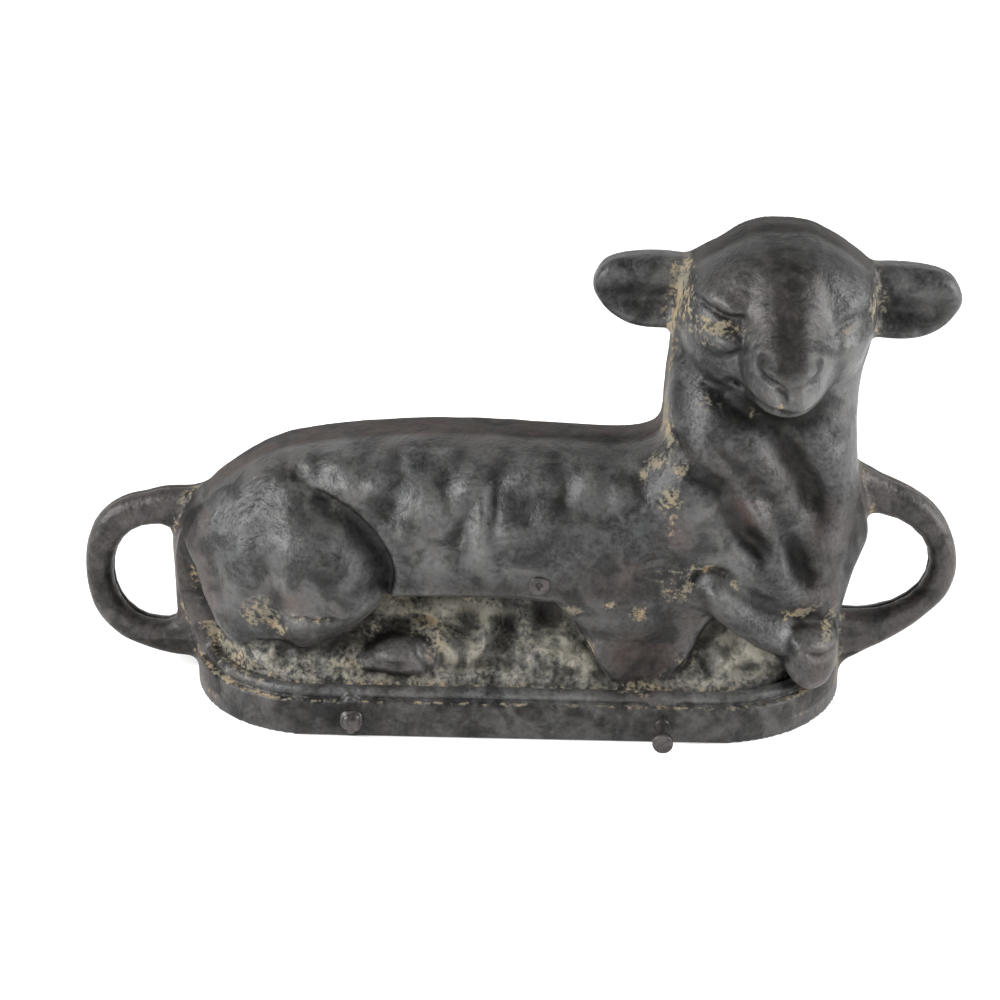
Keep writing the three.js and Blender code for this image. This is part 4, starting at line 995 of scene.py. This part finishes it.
def zones(side, x, z, depth):
    """Where on a casting each vertex lies: distances from its forms, and how much it is part of each."""
    at = sampled(side, x, z)
    at["recess"] = look(side.recess, x, z)
    at["fine_recess"] = look(side.fine_recess, x, z)
    plan = plinth_plan(x, depth)
    bead_out = BEAD_SETBACK + 2 * BEAD_RADIUS
    at["facing"] = np.clip((depth - 6) / 8, 0, 1)
    at["on_lamb"] = (at["lamb"] < 0.5) & (depth > at["relief_map"] - 2.5)
    at["loops"] = np.minimum(*(at[loop] for loop in LOOPS))
    at["ears"] = np.minimum(*(at[ear] for ear in EARS))
    at["edge_band"] = bell(plan + 0.4, 0.9) * (z < PLINTH_HEIGHT)
    at["wall"] = (plan > -1.2) & (z < PLINTH_HEIGHT + 0.5)
    at["shelf"] = bell(plan + 1.1, 1.3) * bell(z - PLINTH_HEIGHT - 0.1, 0.8)
    at["bead"] = bell(plan + BEAD_SETBACK + BEAD_RADIUS, 1.6) * bell(z - PLINTH_HEIGHT - 4.4, 1.2)
    at["behind_bead"] = bell(plan + bead_out + 0.8, 1.6) * bell(z - PLINTH_HEIGHT - 3.2, 2.2)
    inner = smooth_step(-bead_out + 0.6, -bead_out - 0.8, plan)
    at["ground"] = look(side.ground, x, z) * at["on_lamb"] * inner
    at["face"] = smooth_step(122, 134, z)
    clear = (z > 60) * (at["loops"] > 2) * (at["ears"] > 0.5)
    at["rim"] = smooth_step(RIM_DEPTH + 1, RIM_DEPTH - 5, depth) * clear
    return at


def dirt_mask(at, deposits):
    """Tan deposits: in patches, on the plinth's shelf, behind the bead and at the roots of loops and ears."""
    x, z, lamb = at["x"], at["z"], at["lamb"]
    dirt = look(deposits, x, z) * at["facing"]
    dirt = dirt + at["shelf"] * (0.35 + 0.5 * smooth_step(-60, -105, x) + 0.4 * smooth_step(70, 100, x))
    dirt = dirt + 0.3 * at["behind_bead"]
    loop_root = bell(np.maximum(lamb - 1, 0), 3.0) * (at["loops"] < 2) * (lamb > 0.5)
    ear_root = bell(np.maximum(lamb, 0), 4.0) * (at["ears"] < 0.5) * (lamb > -1)
    return dirt + 0.35 * loop_root + 0.4 * ear_root


def pale_mask(at, bloom):
    """Grey bloom, on the ground and the low parts."""
    low = np.clip(at["ground"] + 0.35 * (at["z"] > 40), 0, 1)
    return look(bloom, at["x"], at["z"]) * at["facing"] * low + 0.5 * at["ground"]


def shade_and_soot_mask(at, shade_and_grime):
    """Painted shade and black grime: painted shade in creases, in the groove behind the bead, on the rim's
    top band and in the ears' hollows; darker on the plinth's wall and the loops; and the listed spots.
    """
    x, z = at["x"], at["z"]
    # painted shade: darker in creases and recesses, where shade falls
    crease_shade = np.clip(at["recess"] / 1.9, 0, 1) + np.clip(at["fine_recess"] / 0.6, 0, 1) * 0.6
    shade_and_soot = np.where(at["on_lamb"], crease_shade, 0)
    # painted shadow in the groove behind the bead
    shade_and_soot = shade_and_soot * (1 - 0.6 * at["ground"]) * (1 - 0.8 * at["face"]) + 0.7 * at["behind_bead"]
    # the listed spots: on the front half mostly painted shade (under the chin, along the belly, in creases),
    # elsewhere black grime
    shade_and_soot = shade_and_soot + look(shade_and_grime, x, z) * at["facing"]
    # painted shade on the rim's upward-facing band; the plinth's wall and the loops are darkened too
    shade_and_soot = shade_and_soot + 0.45 * at["rim"] + 0.95 * at["wall"] * (1 - 0.6 * at["edge_band"])
    shade_and_soot = shade_and_soot + 0.3 * (at["loops"] < 1)
    # painted shade in the ears' hollows
    for ear in (left_ear, right_ear):
        along, up = x - ear["x"] - ear["side"] * EAR_LENGTH * EAR_PIT_SHARE, z - ear["z"] + 4.5
        shade_and_soot = shade_and_soot + 0.6 * bell(along, 15) * bell(up, 4.5) * (at["ears"] < 0)
    return shade_and_soot


def rubbed_and_highlight_mask(at):
    """Rubbed metal and painted highlights: lighter on what stands out, and a painted highlight along the
    bead's top.
    """
    back = 0.5 + 0.35 * (at["z"] > 66) * (at["x"] < 45)
    # painted highlight on lumps and raised forms, partly rubbed metal
    rubbed_and_highlight = np.clip(-at["recess"] / 2.0, 0, 1) * back + np.clip(-at["fine_recess"] / 0.3, 0, 1) * 0.35
    rubbed_and_highlight = rubbed_and_highlight * (1 - 0.5 * at["face"]) * (1 - 0.4 * (at["x"] < -60))
    # painted highlight along the top of the bead
    return np.where(at["on_lamb"], rubbed_and_highlight, 0.15) + 0.45 * at["bead"]


def brown_mask(at, stains):
    """Brown staining: in patches, and on the loops, the plinth's wall and the rim."""
    brown = look(stains, at["x"], at["z"]) * at["facing"] + 0.45 * (at["loops"] < 1) + 0.15 * at["wall"]
    return brown + at["rim"] * np.where(at["z"] < 150, 0.75, 0.3)


def surface_masks(side, places, depth, deposits, bloom, stains, shade_and_grime):
    """How dirty, pale and brown a casting is at each vertex, how rubbed or lit by painted highlights, and how
    much painted shade and soot it has.
    """
    at = zones(side, places[:, 0], places[:, 2], depth)
    return {"dirt": dirt_mask(at, deposits), "pale": pale_mask(at, bloom), "brown": brown_mask(at, stains),
            "rubbed_and_highlight": rubbed_and_highlight_mask(at), "shade_and_soot": shade_and_soot_mask(at, shade_and_grime), "rim": at["rim"]}


def finished_casting(name, side, extra_cut, front, spots):
    """One half as a mesh in its place, with its masks."""
    places, quads, hollow_side = cast_half(side, extra_cut)
    sign = -1 if front else 1
    row = np.stack([places[:, 0], MEETING + sign * (places[:, 1] + SEAM / 2), places[:, 2]], 1)
    if front:
        quads = quads[:, ::-1]
    row = np.clip(row, np.array(CAD_BOX[0]) / MM, np.array(CAD_BOX[1]) / MM)
    piece = new_mesh(name, row, quads)
    coarsened(piece, hollow_side, HOLLOW_KEPT)
    row = mesh_places(piece)
    depth = sign * (row[:, 1] - MEETING)
    spot = sampled(side, row[:, 0], row[:, 2])
    out = np.abs(outer_field(spot, depth - SEAM / 2))
    hollow = np.abs(hollow_field(spot, depth - SEAM / 2)) < out
    masks = surface_masks(side, row, depth, *(spots_map(group) for group in spots))
    for mask, values in masks.items():
        add_mask(piece, mask, np.where(hollow, HOLLOW_STAIN if mask in ("dirt", "brown") else 0, values))
    return piece


def vent_cut(x, depth, z):
    """The steam hole at the back of the neck."""
    return np.maximum(np.hypot(x - HEAD_MIDDLE, z - VENT_HEIGHT) - VENT_RADIUS, RIM_DEPTH - depth)


# Small pieces: feet, belly plug and locating pins

def turned(name, profile_points, middle, around=64, wobble=0.0, seed=0):
    """A body turned about a line along Y. The profile is (radius, y) from back to front, in millimetres."""
    rng = np.random.default_rng(seed)
    waves = [(n, rng.normal() / n, rng.uniform(0, 2 * math.pi)) for n in (2, 3, 4, 5)]
    rings, faces = [], []
    path = smooth_path(profile_points, steps=4)
    for radius, y in path:
        angles = np.arange(around) * 2 * math.pi / around
        lump = 1 + wobble * sum(size * np.cos(n * angles + phase + 0.2 * y) for n, size, phase in waves)
        r = np.maximum(radius, 0.02) * lump
        ring_x, ring_z = middle[0] + r * np.cos(angles), middle[1] + r * np.sin(angles)
        rings.append(np.stack([ring_x, np.full(around, y), ring_z], 1))
    for ring in range(len(rings) - 1):
        low, high = ring * around, (ring + 1) * around
        for n in range(around):
            m = (n + 1) % around
            faces.append((low + n, low + m, high + m, high + n))
    faces.append(tuple(range(around))[::-1])
    faces.append(tuple(range((len(rings) - 1) * around, len(rings) * around)))
    return new_mesh(name, np.vstack(rings), faces)


def right_foot():
    """The foot that is still whole: a rubbed round head on a narrower neck, with a thin fin along its top."""
    low, high = node_box("right_foot_pin")
    radius = (high[0] - low[0]) / 2 - 0.05
    middle = ((high[0] + low[0]) / 2, low[2] + radius + 0.05)
    face = MEETING - PLINTH_REACH
    end = low[1] + 0.05
    path = [(2.9, high[1] - 0.1), (2.9, face + 1), (2.9, face - 0.6), (2.35, face - 2.2), (2.2, end + 6.5),
            (2.5, end + 4.6), (radius - 0.3, end + 3.6), (radius, end + 2.9), (radius, end + 0.7),
            (radius - 0.2, end + 0.2), (radius - 0.7, end), (radius * 0.5, end), (0, end)]
    pin = turned("foot_right", path, middle, wobble=0.008, seed=3)
    half = 0.95
    reach = [(face + 1.5, 0), (end + 2.4, 0.5), (end + 2.2, radius - 0.2), (end + 4.0, radius + 0.3),
             (face - 3, 3.9), (face + 1.5, 5.4)]
    sides = []
    for side in (-1, 1):
        sides.append([(middle[0] + side * half, y, middle[1] + up) for y, up in reach])
    count = len(reach)
    faces = [tuple(range(count)), tuple(range(2 * count - 1, count - 1, -1))]
    faces += [(n, n + count, (n + 1) % count + count, (n + 1) % count) for n in range(count)]
    fin = new_mesh("foot_right_gusset", sides[0] + sides[1], faces)
    soften(fin, 0.45)
    return [pin, fin]


def left_foot():
    """What is left of the left foot: a smeared lump with a nub, on a burred flange."""
    low, high = node_box("left_foot_stub")
    radius = (high[0] - low[0]) / 2
    middle = ((high[0] + low[0]) / 2, (high[2] + low[2]) / 2)
    face = MEETING - PLINTH_REACH
    lump = [(0.8, -2.8), (0.8, -1), (0.92, 0.1), (0.93, 0.9), (0.86, 1.6), (0.7, 2.2), (0.62, 2.9),
            (0.45, 3.5)]
    lump = [(radius * share, face - out) for share, out in lump]
    lump += [(radius * 0.2, low[1] + 0.15), (0, low[1] + 0.1)]
    stub = turned("foot_left_stub", lump, middle, wobble=0.1, seed=12)
    nub_middle = (middle[0], middle[1] - radius * 0.62)
    path = [(1.5, face + 1), (1.5, face - 1.5), (1.45, face - 2.9), (1.1, face - 3.5), (0.5, face - 3.7),
            (0, face - 3.72)]
    nub = turned("foot_left_nub", path, nub_middle, around=32, wobble=0.03, seed=5)
    return [stub, nub]


def belly_root():
    """A foot broken off almost flush on the belly: a disc with a burst pit."""
    low, high = node_box("belly_foot_root")
    radius = (high[0] - low[0]) / 2
    middle = ((high[0] + low[0]) / 2, (high[2] + low[2]) / 2)
    end = low[1]
    pit = [(1, 1.0), (0.96, 0.35), (0.8, 0.1), (0.55, 0.25), (0.36, 0.5), (0.22, 1.2), (0, 1.3)]
    path = [(radius, high[1])] + [(radius * share, end + deep) for share, deep in pit]
    return [turned("belly_foot_root_end", path, middle, wobble=0.02, seed=8)]


def locating_pin(node):
    low, high = node_box(node)
    radius = (high[0] - low[0]) / 2 - 0.02
    middle = ((high[0] + low[0]) / 2, (high[2] + low[2]) / 2)
    edge = 0.5
    path = [(radius - edge, high[1]), (radius, high[1] - edge), (radius, MEETING), (radius, low[1] + 1.5),
            (radius - 0.25, low[1] + 0.5), (radius * 0.6, low[1] + 0.05), (0, low[1])]
    return turned(node + "_body", path, middle, around=40, wobble=0.004, seed=len(node))


def soften(piece, width):
    """Rounds a small piece's edges."""
    bevel = piece.modifiers.new("rounded", "BEVEL")
    bevel.width = width * MM
    bevel.segments = 3
    bevel.limit_method = "ANGLE"
    apply_modifiers(piece)
    piece.data.polygons.foreach_set("use_smooth", [True] * len(piece.data.polygons))


# Materials

class Nodes:
    """Short ways to make and link shader nodes."""

    def __init__(self, name):
        self.material = bpy.data.materials.new(name)
        self.material.use_nodes = True
        self.tree = self.material.node_tree
        self.shader = self.tree.nodes["Principled BSDF"]
        self.place = self.tree.nodes.new("ShaderNodeTexCoord").outputs["Object"]

    def link(self, source, target):
        self.tree.links.new(source, target)

    def noise(self, scale, detail=4.0, roughness=0.55, distortion=0.0):
        node = self.tree.nodes.new("ShaderNodeTexNoise")
        node.inputs["Scale"].default_value = scale
        node.inputs["Detail"].default_value = detail
        node.inputs["Roughness"].default_value = roughness
        node.inputs["Distortion"].default_value = distortion
        self.link(self.place, node.inputs["Vector"])
        return node.outputs["Fac"]

    def mask(self, name):
        node = self.tree.nodes.new("ShaderNodeAttribute")
        node.attribute_name = name
        return node.outputs["Fac"]

    def ramp(self, value, low, high, start=0.0, end=1.0):
        node = self.tree.nodes.new("ShaderNodeMapRange")
        node.interpolation_type = "SMOOTHSTEP"
        for socket, number in (("From Min", low), ("From Max", high), ("To Min", start), ("To Max", end)):
            node.inputs[socket].default_value = number
        self.link(value, node.inputs["Value"])
        return node.outputs["Result"]

    def math(self, kind, first, second):
        node = self.tree.nodes.new("ShaderNodeMath")
        node.operation = kind
        for socket, value in zip(node.inputs, (first, second)):
            if isinstance(value, (int, float)):
                socket.default_value = value
            else:
                self.link(value, socket)
        return node.outputs["Value"]

    def times(self, first, second):
        return self.math("MULTIPLY", first, second)

    def plus(self, first, second):
        return self.math("ADD", first, second)

    def mix(self, share, first, second):
        node = self.tree.nodes.new("ShaderNodeMix")
        node.data_type = "RGBA"
        sockets = [s for s in node.inputs if s.type == "RGBA"]
        for socket, value in ((node.inputs["Factor"], share), (sockets[0], first), (sockets[1], second)):
            if isinstance(value, (int, float)):
                socket.default_value = value
            elif isinstance(value, tuple):
                socket.default_value = (*value, 1)
            else:
                self.link(value, socket)
        return next(s for s in node.outputs if s.type == "RGBA")

    def bump(self, height, strength, distance, below=None):
        node = self.tree.nodes.new("ShaderNodeBump")
        node.inputs["Strength"].default_value = strength
        node.inputs["Distance"].default_value = distance * MM
        self.link(height, node.inputs["Height"])
        if below is not None:
            self.link(below, node.inputs["Normal"])
        return node.outputs["Normal"]


IRON_DARK = (0.010, 0.0097, 0.0095)
IRON_MID = (0.062, 0.060, 0.058)
IRON_BLUE = (0.058, 0.062, 0.065)
# light colour of rubbed metal, also laid as painted highlight
IRON_RUBBED_AND_HIGHLIGHT = (0.17, 0.17, 0.167)
BROWN_STAIN = (0.050, 0.028, 0.021)
TAN_DIRT = (0.36, 0.28, 0.165)
GREY_DIRT = (0.235, 0.214, 0.16)
PALE_GREY = (0.32, 0.295, 0.24)
GREEN_GREY = (0.175, 0.165, 0.125)
# near-black for soot and for painted shade
SHADE_AND_SOOT_BLACK = (0.009, 0.0085, 0.008)


def iron_material(name, brownness=0.0, dirtiness=1.0):
    n = Nodes(name)
    broad = n.noise(24, 3, 0.5, 0.4)
    patches = n.noise(85, 4, 0.55, 0.6)
    mottle = n.noise(240, 4, 0.55, 0.5)
    specks = n.noise(620, 4, 0.65)
    grain = n.noise(1700, 3, 0.6)
    body = n.mix(n.ramp(broad, 0.42, 0.58), IRON_DARK, IRON_MID)
    body = n.mix(n.times(n.ramp(mottle, 0.42, 0.64), 0.45), body, IRON_BLUE)
    body = n.mix(n.times(n.ramp(patches, 0.58, 0.38), 0.7), body, IRON_DARK)
    stain = n.ramp(patches, 0.34, 0.60, 0.1, 1.0)
    brown = n.plus(n.times(n.mask("brown"), stain), brownness)
    body = n.mix(n.math("MINIMUM", brown, 0.9), body, BROWN_STAIN)
    # rubbed metal and painted highlights lighten what stands out
    rubbed_and_highlight = n.times(n.mask("rubbed_and_highlight"), n.ramp(specks, 0.30, 0.66, 0.35, 1.0))
    body = n.mix(n.times(rubbed_and_highlight, 0.5), body, IRON_RUBBED_AND_HIGHLIGHT)
    pale_break = n.plus(n.ramp(mottle, 0.30, 0.70, -0.3, 0.3), n.ramp(specks, 0.30, 0.70, -0.5, 0.45))
    pale = n.ramp(n.plus(n.mask("pale"), pale_break), -0.15, 1.1)
    pale = n.times(pale, n.ramp(n.mask("pale"), 0.02, 0.25))
    pale = n.times(pale, n.ramp(patches, 0.36, 0.56, 0.25, 1.0))
    pale_colour = n.mix(n.ramp(patches, 0.40, 0.60), GREEN_GREY, PALE_GREY)
    body = n.mix(n.times(pale, 0.85), body, pale_colour)
    # painted shade and soot darken the colour
    shade_and_soot = n.times(n.mask("shade_and_soot"), n.ramp(mottle, 0.30, 0.60, 0.65, 1.0))
    body = n.mix(n.math("MINIMUM", n.times(shade_and_soot, 0.85), 0.9), body, SHADE_AND_SOOT_BLACK)
    dirt_break = n.plus(n.ramp(mottle, 0.30, 0.68, -0.5, 0.35), n.ramp(specks, 0.30, 0.70, -0.45, 0.4))
    dirt = n.ramp(n.plus(n.times(n.mask("dirt"), dirtiness), dirt_break), 0.2, 0.9)
    dirt = n.times(dirt, n.ramp(n.mask("dirt"), 0.03, 0.3))
    dirt_colour = n.mix(n.ramp(patches, 0.42, 0.60), GREY_DIRT, TAN_DIRT)
    body = n.mix(n.times(dirt, 0.72), body, dirt_colour)
    n.link(body, n.shader.inputs["Base Color"])
    shine = n.ramp(patches, 0.34, 0.66, 0.33, 0.46)
    shine = n.plus(shine, n.times(n.mask("rim"), 0.2))
    shine = n.plus(shine, n.times(shade_and_soot, 0.1))
    shine = n.plus(shine, n.ramp(specks, 0.34, 0.66, -0.05, 0.08))
    shine = n.plus(shine, n.times(dirt, 0.4))
    shine = n.plus(shine, n.times(pale, 0.25))
    n.link(shine, n.shader.inputs["Roughness"])
    n.shader.inputs["Metallic"].default_value = 0.1
    gloss = n.times(n.ramp(patches, 0.36, 0.62, 0.25, 0.62), n.ramp(specks, 0.30, 0.62, 0.6, 1.15))
    n.link(n.times(gloss, n.ramp(shade_and_soot, 0.0, 1.0, 1.0, 0.45)), n.shader.inputs["Specular IOR Level"])
    rough = n.bump(patches, 0.5, 1.4)
    rough = n.bump(mottle, 0.55, 0.8, rough)
    rough = n.bump(specks, 0.6, 0.5, rough)
    rough = n.bump(grain, 0.3, 0.12, rough)
    n.link(rough, n.shader.inputs["Normal"])
    return n.material


def worn_metal(name, colour, colour_two, roughness, metallic=0.5):
    n = Nodes(name)
    patches = n.noise(260, 5, 0.6, 0.5)
    grain = n.noise(1900, 3, 0.6)
    body = n.mix(n.ramp(patches, 0.38, 0.62), colour, colour_two)
    n.link(body, n.shader.inputs["Base Color"])
    n.link(n.ramp(patches, 0.3, 0.7, roughness - 0.08, roughness + 0.12), n.shader.inputs["Roughness"])
    n.shader.inputs["Metallic"].default_value = metallic
    rough = n.bump(patches, 0.2, 0.4)
    n.link(n.bump(grain, 0.2, 0.12, rough), n.shader.inputs["Normal"])
    return n.material


def give(piece, material, body, slot, *nodes):
    """Sets a piece's material, the body it rides on and the nodes it stands for; the slot argument is not
    used.
    """
    piece.data.materials.clear()
    piece.data.materials.append(material)
    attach(piece, body)
    if nodes:
        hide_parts(*nodes)


# The assembly

# Lumps of the plinth's side round the feet: place along and up, half width, how far out, and half height
front_mounds = [
    (-59.5, 12, 3.0, 2.2, 4.6), (-59, 6.5, 7, 1.6, 5.0), (-51.0, 8, 3.6, 1.9, 2.8), (-66, 6, 3, 1.2, 3),
    (55.5, 8, 5.5, 1.2, 5.5),
]
front_side = Side(front_depths(), FRONT_DRAFT, 20, front_mounds)
rear_side = Side(rear_depths(), REAR_DRAFT, 60)

front_iron = iron_material("front_iron_finish")
rear_iron = iron_material("rear_iron_finish", brownness=0.1, dirtiness=0.8)
foot_iron = worn_metal("foot_iron_finish", (0.034, 0.029, 0.028), (0.070, 0.062, 0.059), 0.34)
pin_steel = worn_metal("pin_steel_finish", (0.12, 0.115, 0.11), (0.2, 0.19, 0.18), 0.38, 0.85)

front_cast = finished_casting("front_casting", front_side, None, True,
                              (front_deposits, front_bloom, front_stains, front_shade_and_grime))
give(front_cast, front_iron, "front", "front_iron", "front_half")
rear_cast = finished_casting("rear_casting", rear_side, vent_cut, False,
                             (rear_deposits, rear_bloom, rear_stains, rear_grime))
give(rear_cast, rear_iron, "rear", "rear_iron", "rear_half")

for pieces, node in ((right_foot(), "right_foot_pin"), (left_foot(), "left_foot_stub"),
                     (belly_root(), "belly_foot_root")):
    for piece in pieces:
        give(piece, foot_iron, "front", "foot_iron", node)
for node in ("tail_locating_pin", "chest_locating_pin"):
    give(locating_pin(node), pin_steel, "rear", "pin_steel", node)


# Stage, light and camera

LIT_POINT = (0, 0, 0.08)
WORLD_STRENGTH = 0.18
STAGE_GLOW = 0.45
CAMERA_ABOVE = 22.5  # degrees over the horizon
CAMERA_RIGHT = 2.65  # degrees round from straight ahead
CAMERA_AWAY = 1.0
CAMERA_TARGET = (-6.8 * MM, MEETING * MM, 72 * MM)
SENSOR_WIDTH = 36.0
FOCAL_SHARE = 2.64  # focal length in sensor widths


def white_stage():
    """A white floor that bends up into a back wall and glows a little where it is seen."""
    half = 4.0
    bend = 0.6
    back = 1.6
    drop = 0.0003
    steps = 8
    profile_yz = [(-half, 0.0)]
    for n in range(steps + 1):
        angle = n / steps * math.pi / 2
        profile_yz.append((back + bend * math.sin(angle), bend - bend * math.cos(angle)))
    profile_yz.append((back + bend, half))
    vertices = [(side * half / MM, y / MM, z / MM) for y, z in profile_yz for side in (-1, 1)]
    faces = [(2 * n, 2 * n + 1, 2 * n + 3, 2 * n + 2) for n in range(len(profile_yz) - 1)]
    stage = new_mesh("stage", vertices, faces)
    stage.location.z = -drop
    n = Nodes("stage_white")
    n.shader.inputs["Base Color"].default_value = (0.9, 0.9, 0.895, 1)
    n.shader.inputs["Roughness"].default_value = 0.9
    n.shader.inputs["Specular IOR Level"].default_value = 0.0
    ray = n.tree.nodes.new("ShaderNodeLightPath").outputs
    seen = n.math("MAXIMUM", ray["Is Camera Ray"], ray["Is Glossy Ray"])
    seen = n.math("MAXIMUM", seen, ray["Is Transmission Ray"])
    n.shader.inputs["Emission Color"].default_value = (1, 1, 1, 1)
    n.link(n.times(seen, STAGE_GLOW), n.shader.inputs["Emission Strength"])
    stage.data.materials.append(n.material)


def area_lamp(name, place, width, height, power):
    light = bpy.data.lights.new(name, "AREA")
    light.shape = "RECTANGLE"
    light.size, light.size_y = width, height
    light.energy = power
    lamp = bpy.data.objects.new(name, light)
    bpy.context.scene.collection.objects.link(lamp)
    lamp.location = place
    lamp.rotation_euler = (Vector(LIT_POINT) - Vector(place)).to_track_quat("-Z", "Y").to_euler()


def world_light():
    world = bpy.data.worlds.new("studio")
    bpy.context.scene.world = world
    world.use_nodes = True
    sky = world.node_tree.nodes["Background"]
    sky.inputs["Color"].default_value = (1, 1, 1, 1)
    sky.inputs["Strength"].default_value = WORLD_STRENGTH


def camera():
    """The camera through which the photograph's outlines were read."""
    elevation, turn = math.radians(CAMERA_ABOVE), math.radians(CAMERA_RIGHT)
    back = Vector((math.sin(turn) * math.cos(elevation), -math.cos(turn) * math.cos(elevation),
                   math.sin(elevation)))
    view = bpy.data.cameras.new("camera")
    view.sensor_width = SENSOR_WIDTH
    view.sensor_fit = "HORIZONTAL"
    view.lens = SENSOR_WIDTH * FOCAL_SHARE
    eye = bpy.data.objects.new("camera", view)
    bpy.context.scene.collection.objects.link(eye)
    eye.location = Vector(CAMERA_TARGET) + back * CAMERA_AWAY
    eye.rotation_euler = (-back).to_track_quat("-Z", "Y").to_euler()
    bpy.context.scene.camera = eye


bpy.context.scene.view_settings.view_transform = "Standard"
white_stage()
world_light()
area_lamp("left", (-1.25, -0.55, 0.75), 0.8, 0.8, 35)
area_lamp("right", (1.3, -0.2, 0.6), 0.9, 0.9, 28)
area_lamp("front", (0.1, -1.7, 0.14), 1.6, 0.25, 6)
area_lamp("above", (0.0, 0.3, 1.6), 0.9, 0.7, 2)
camera()
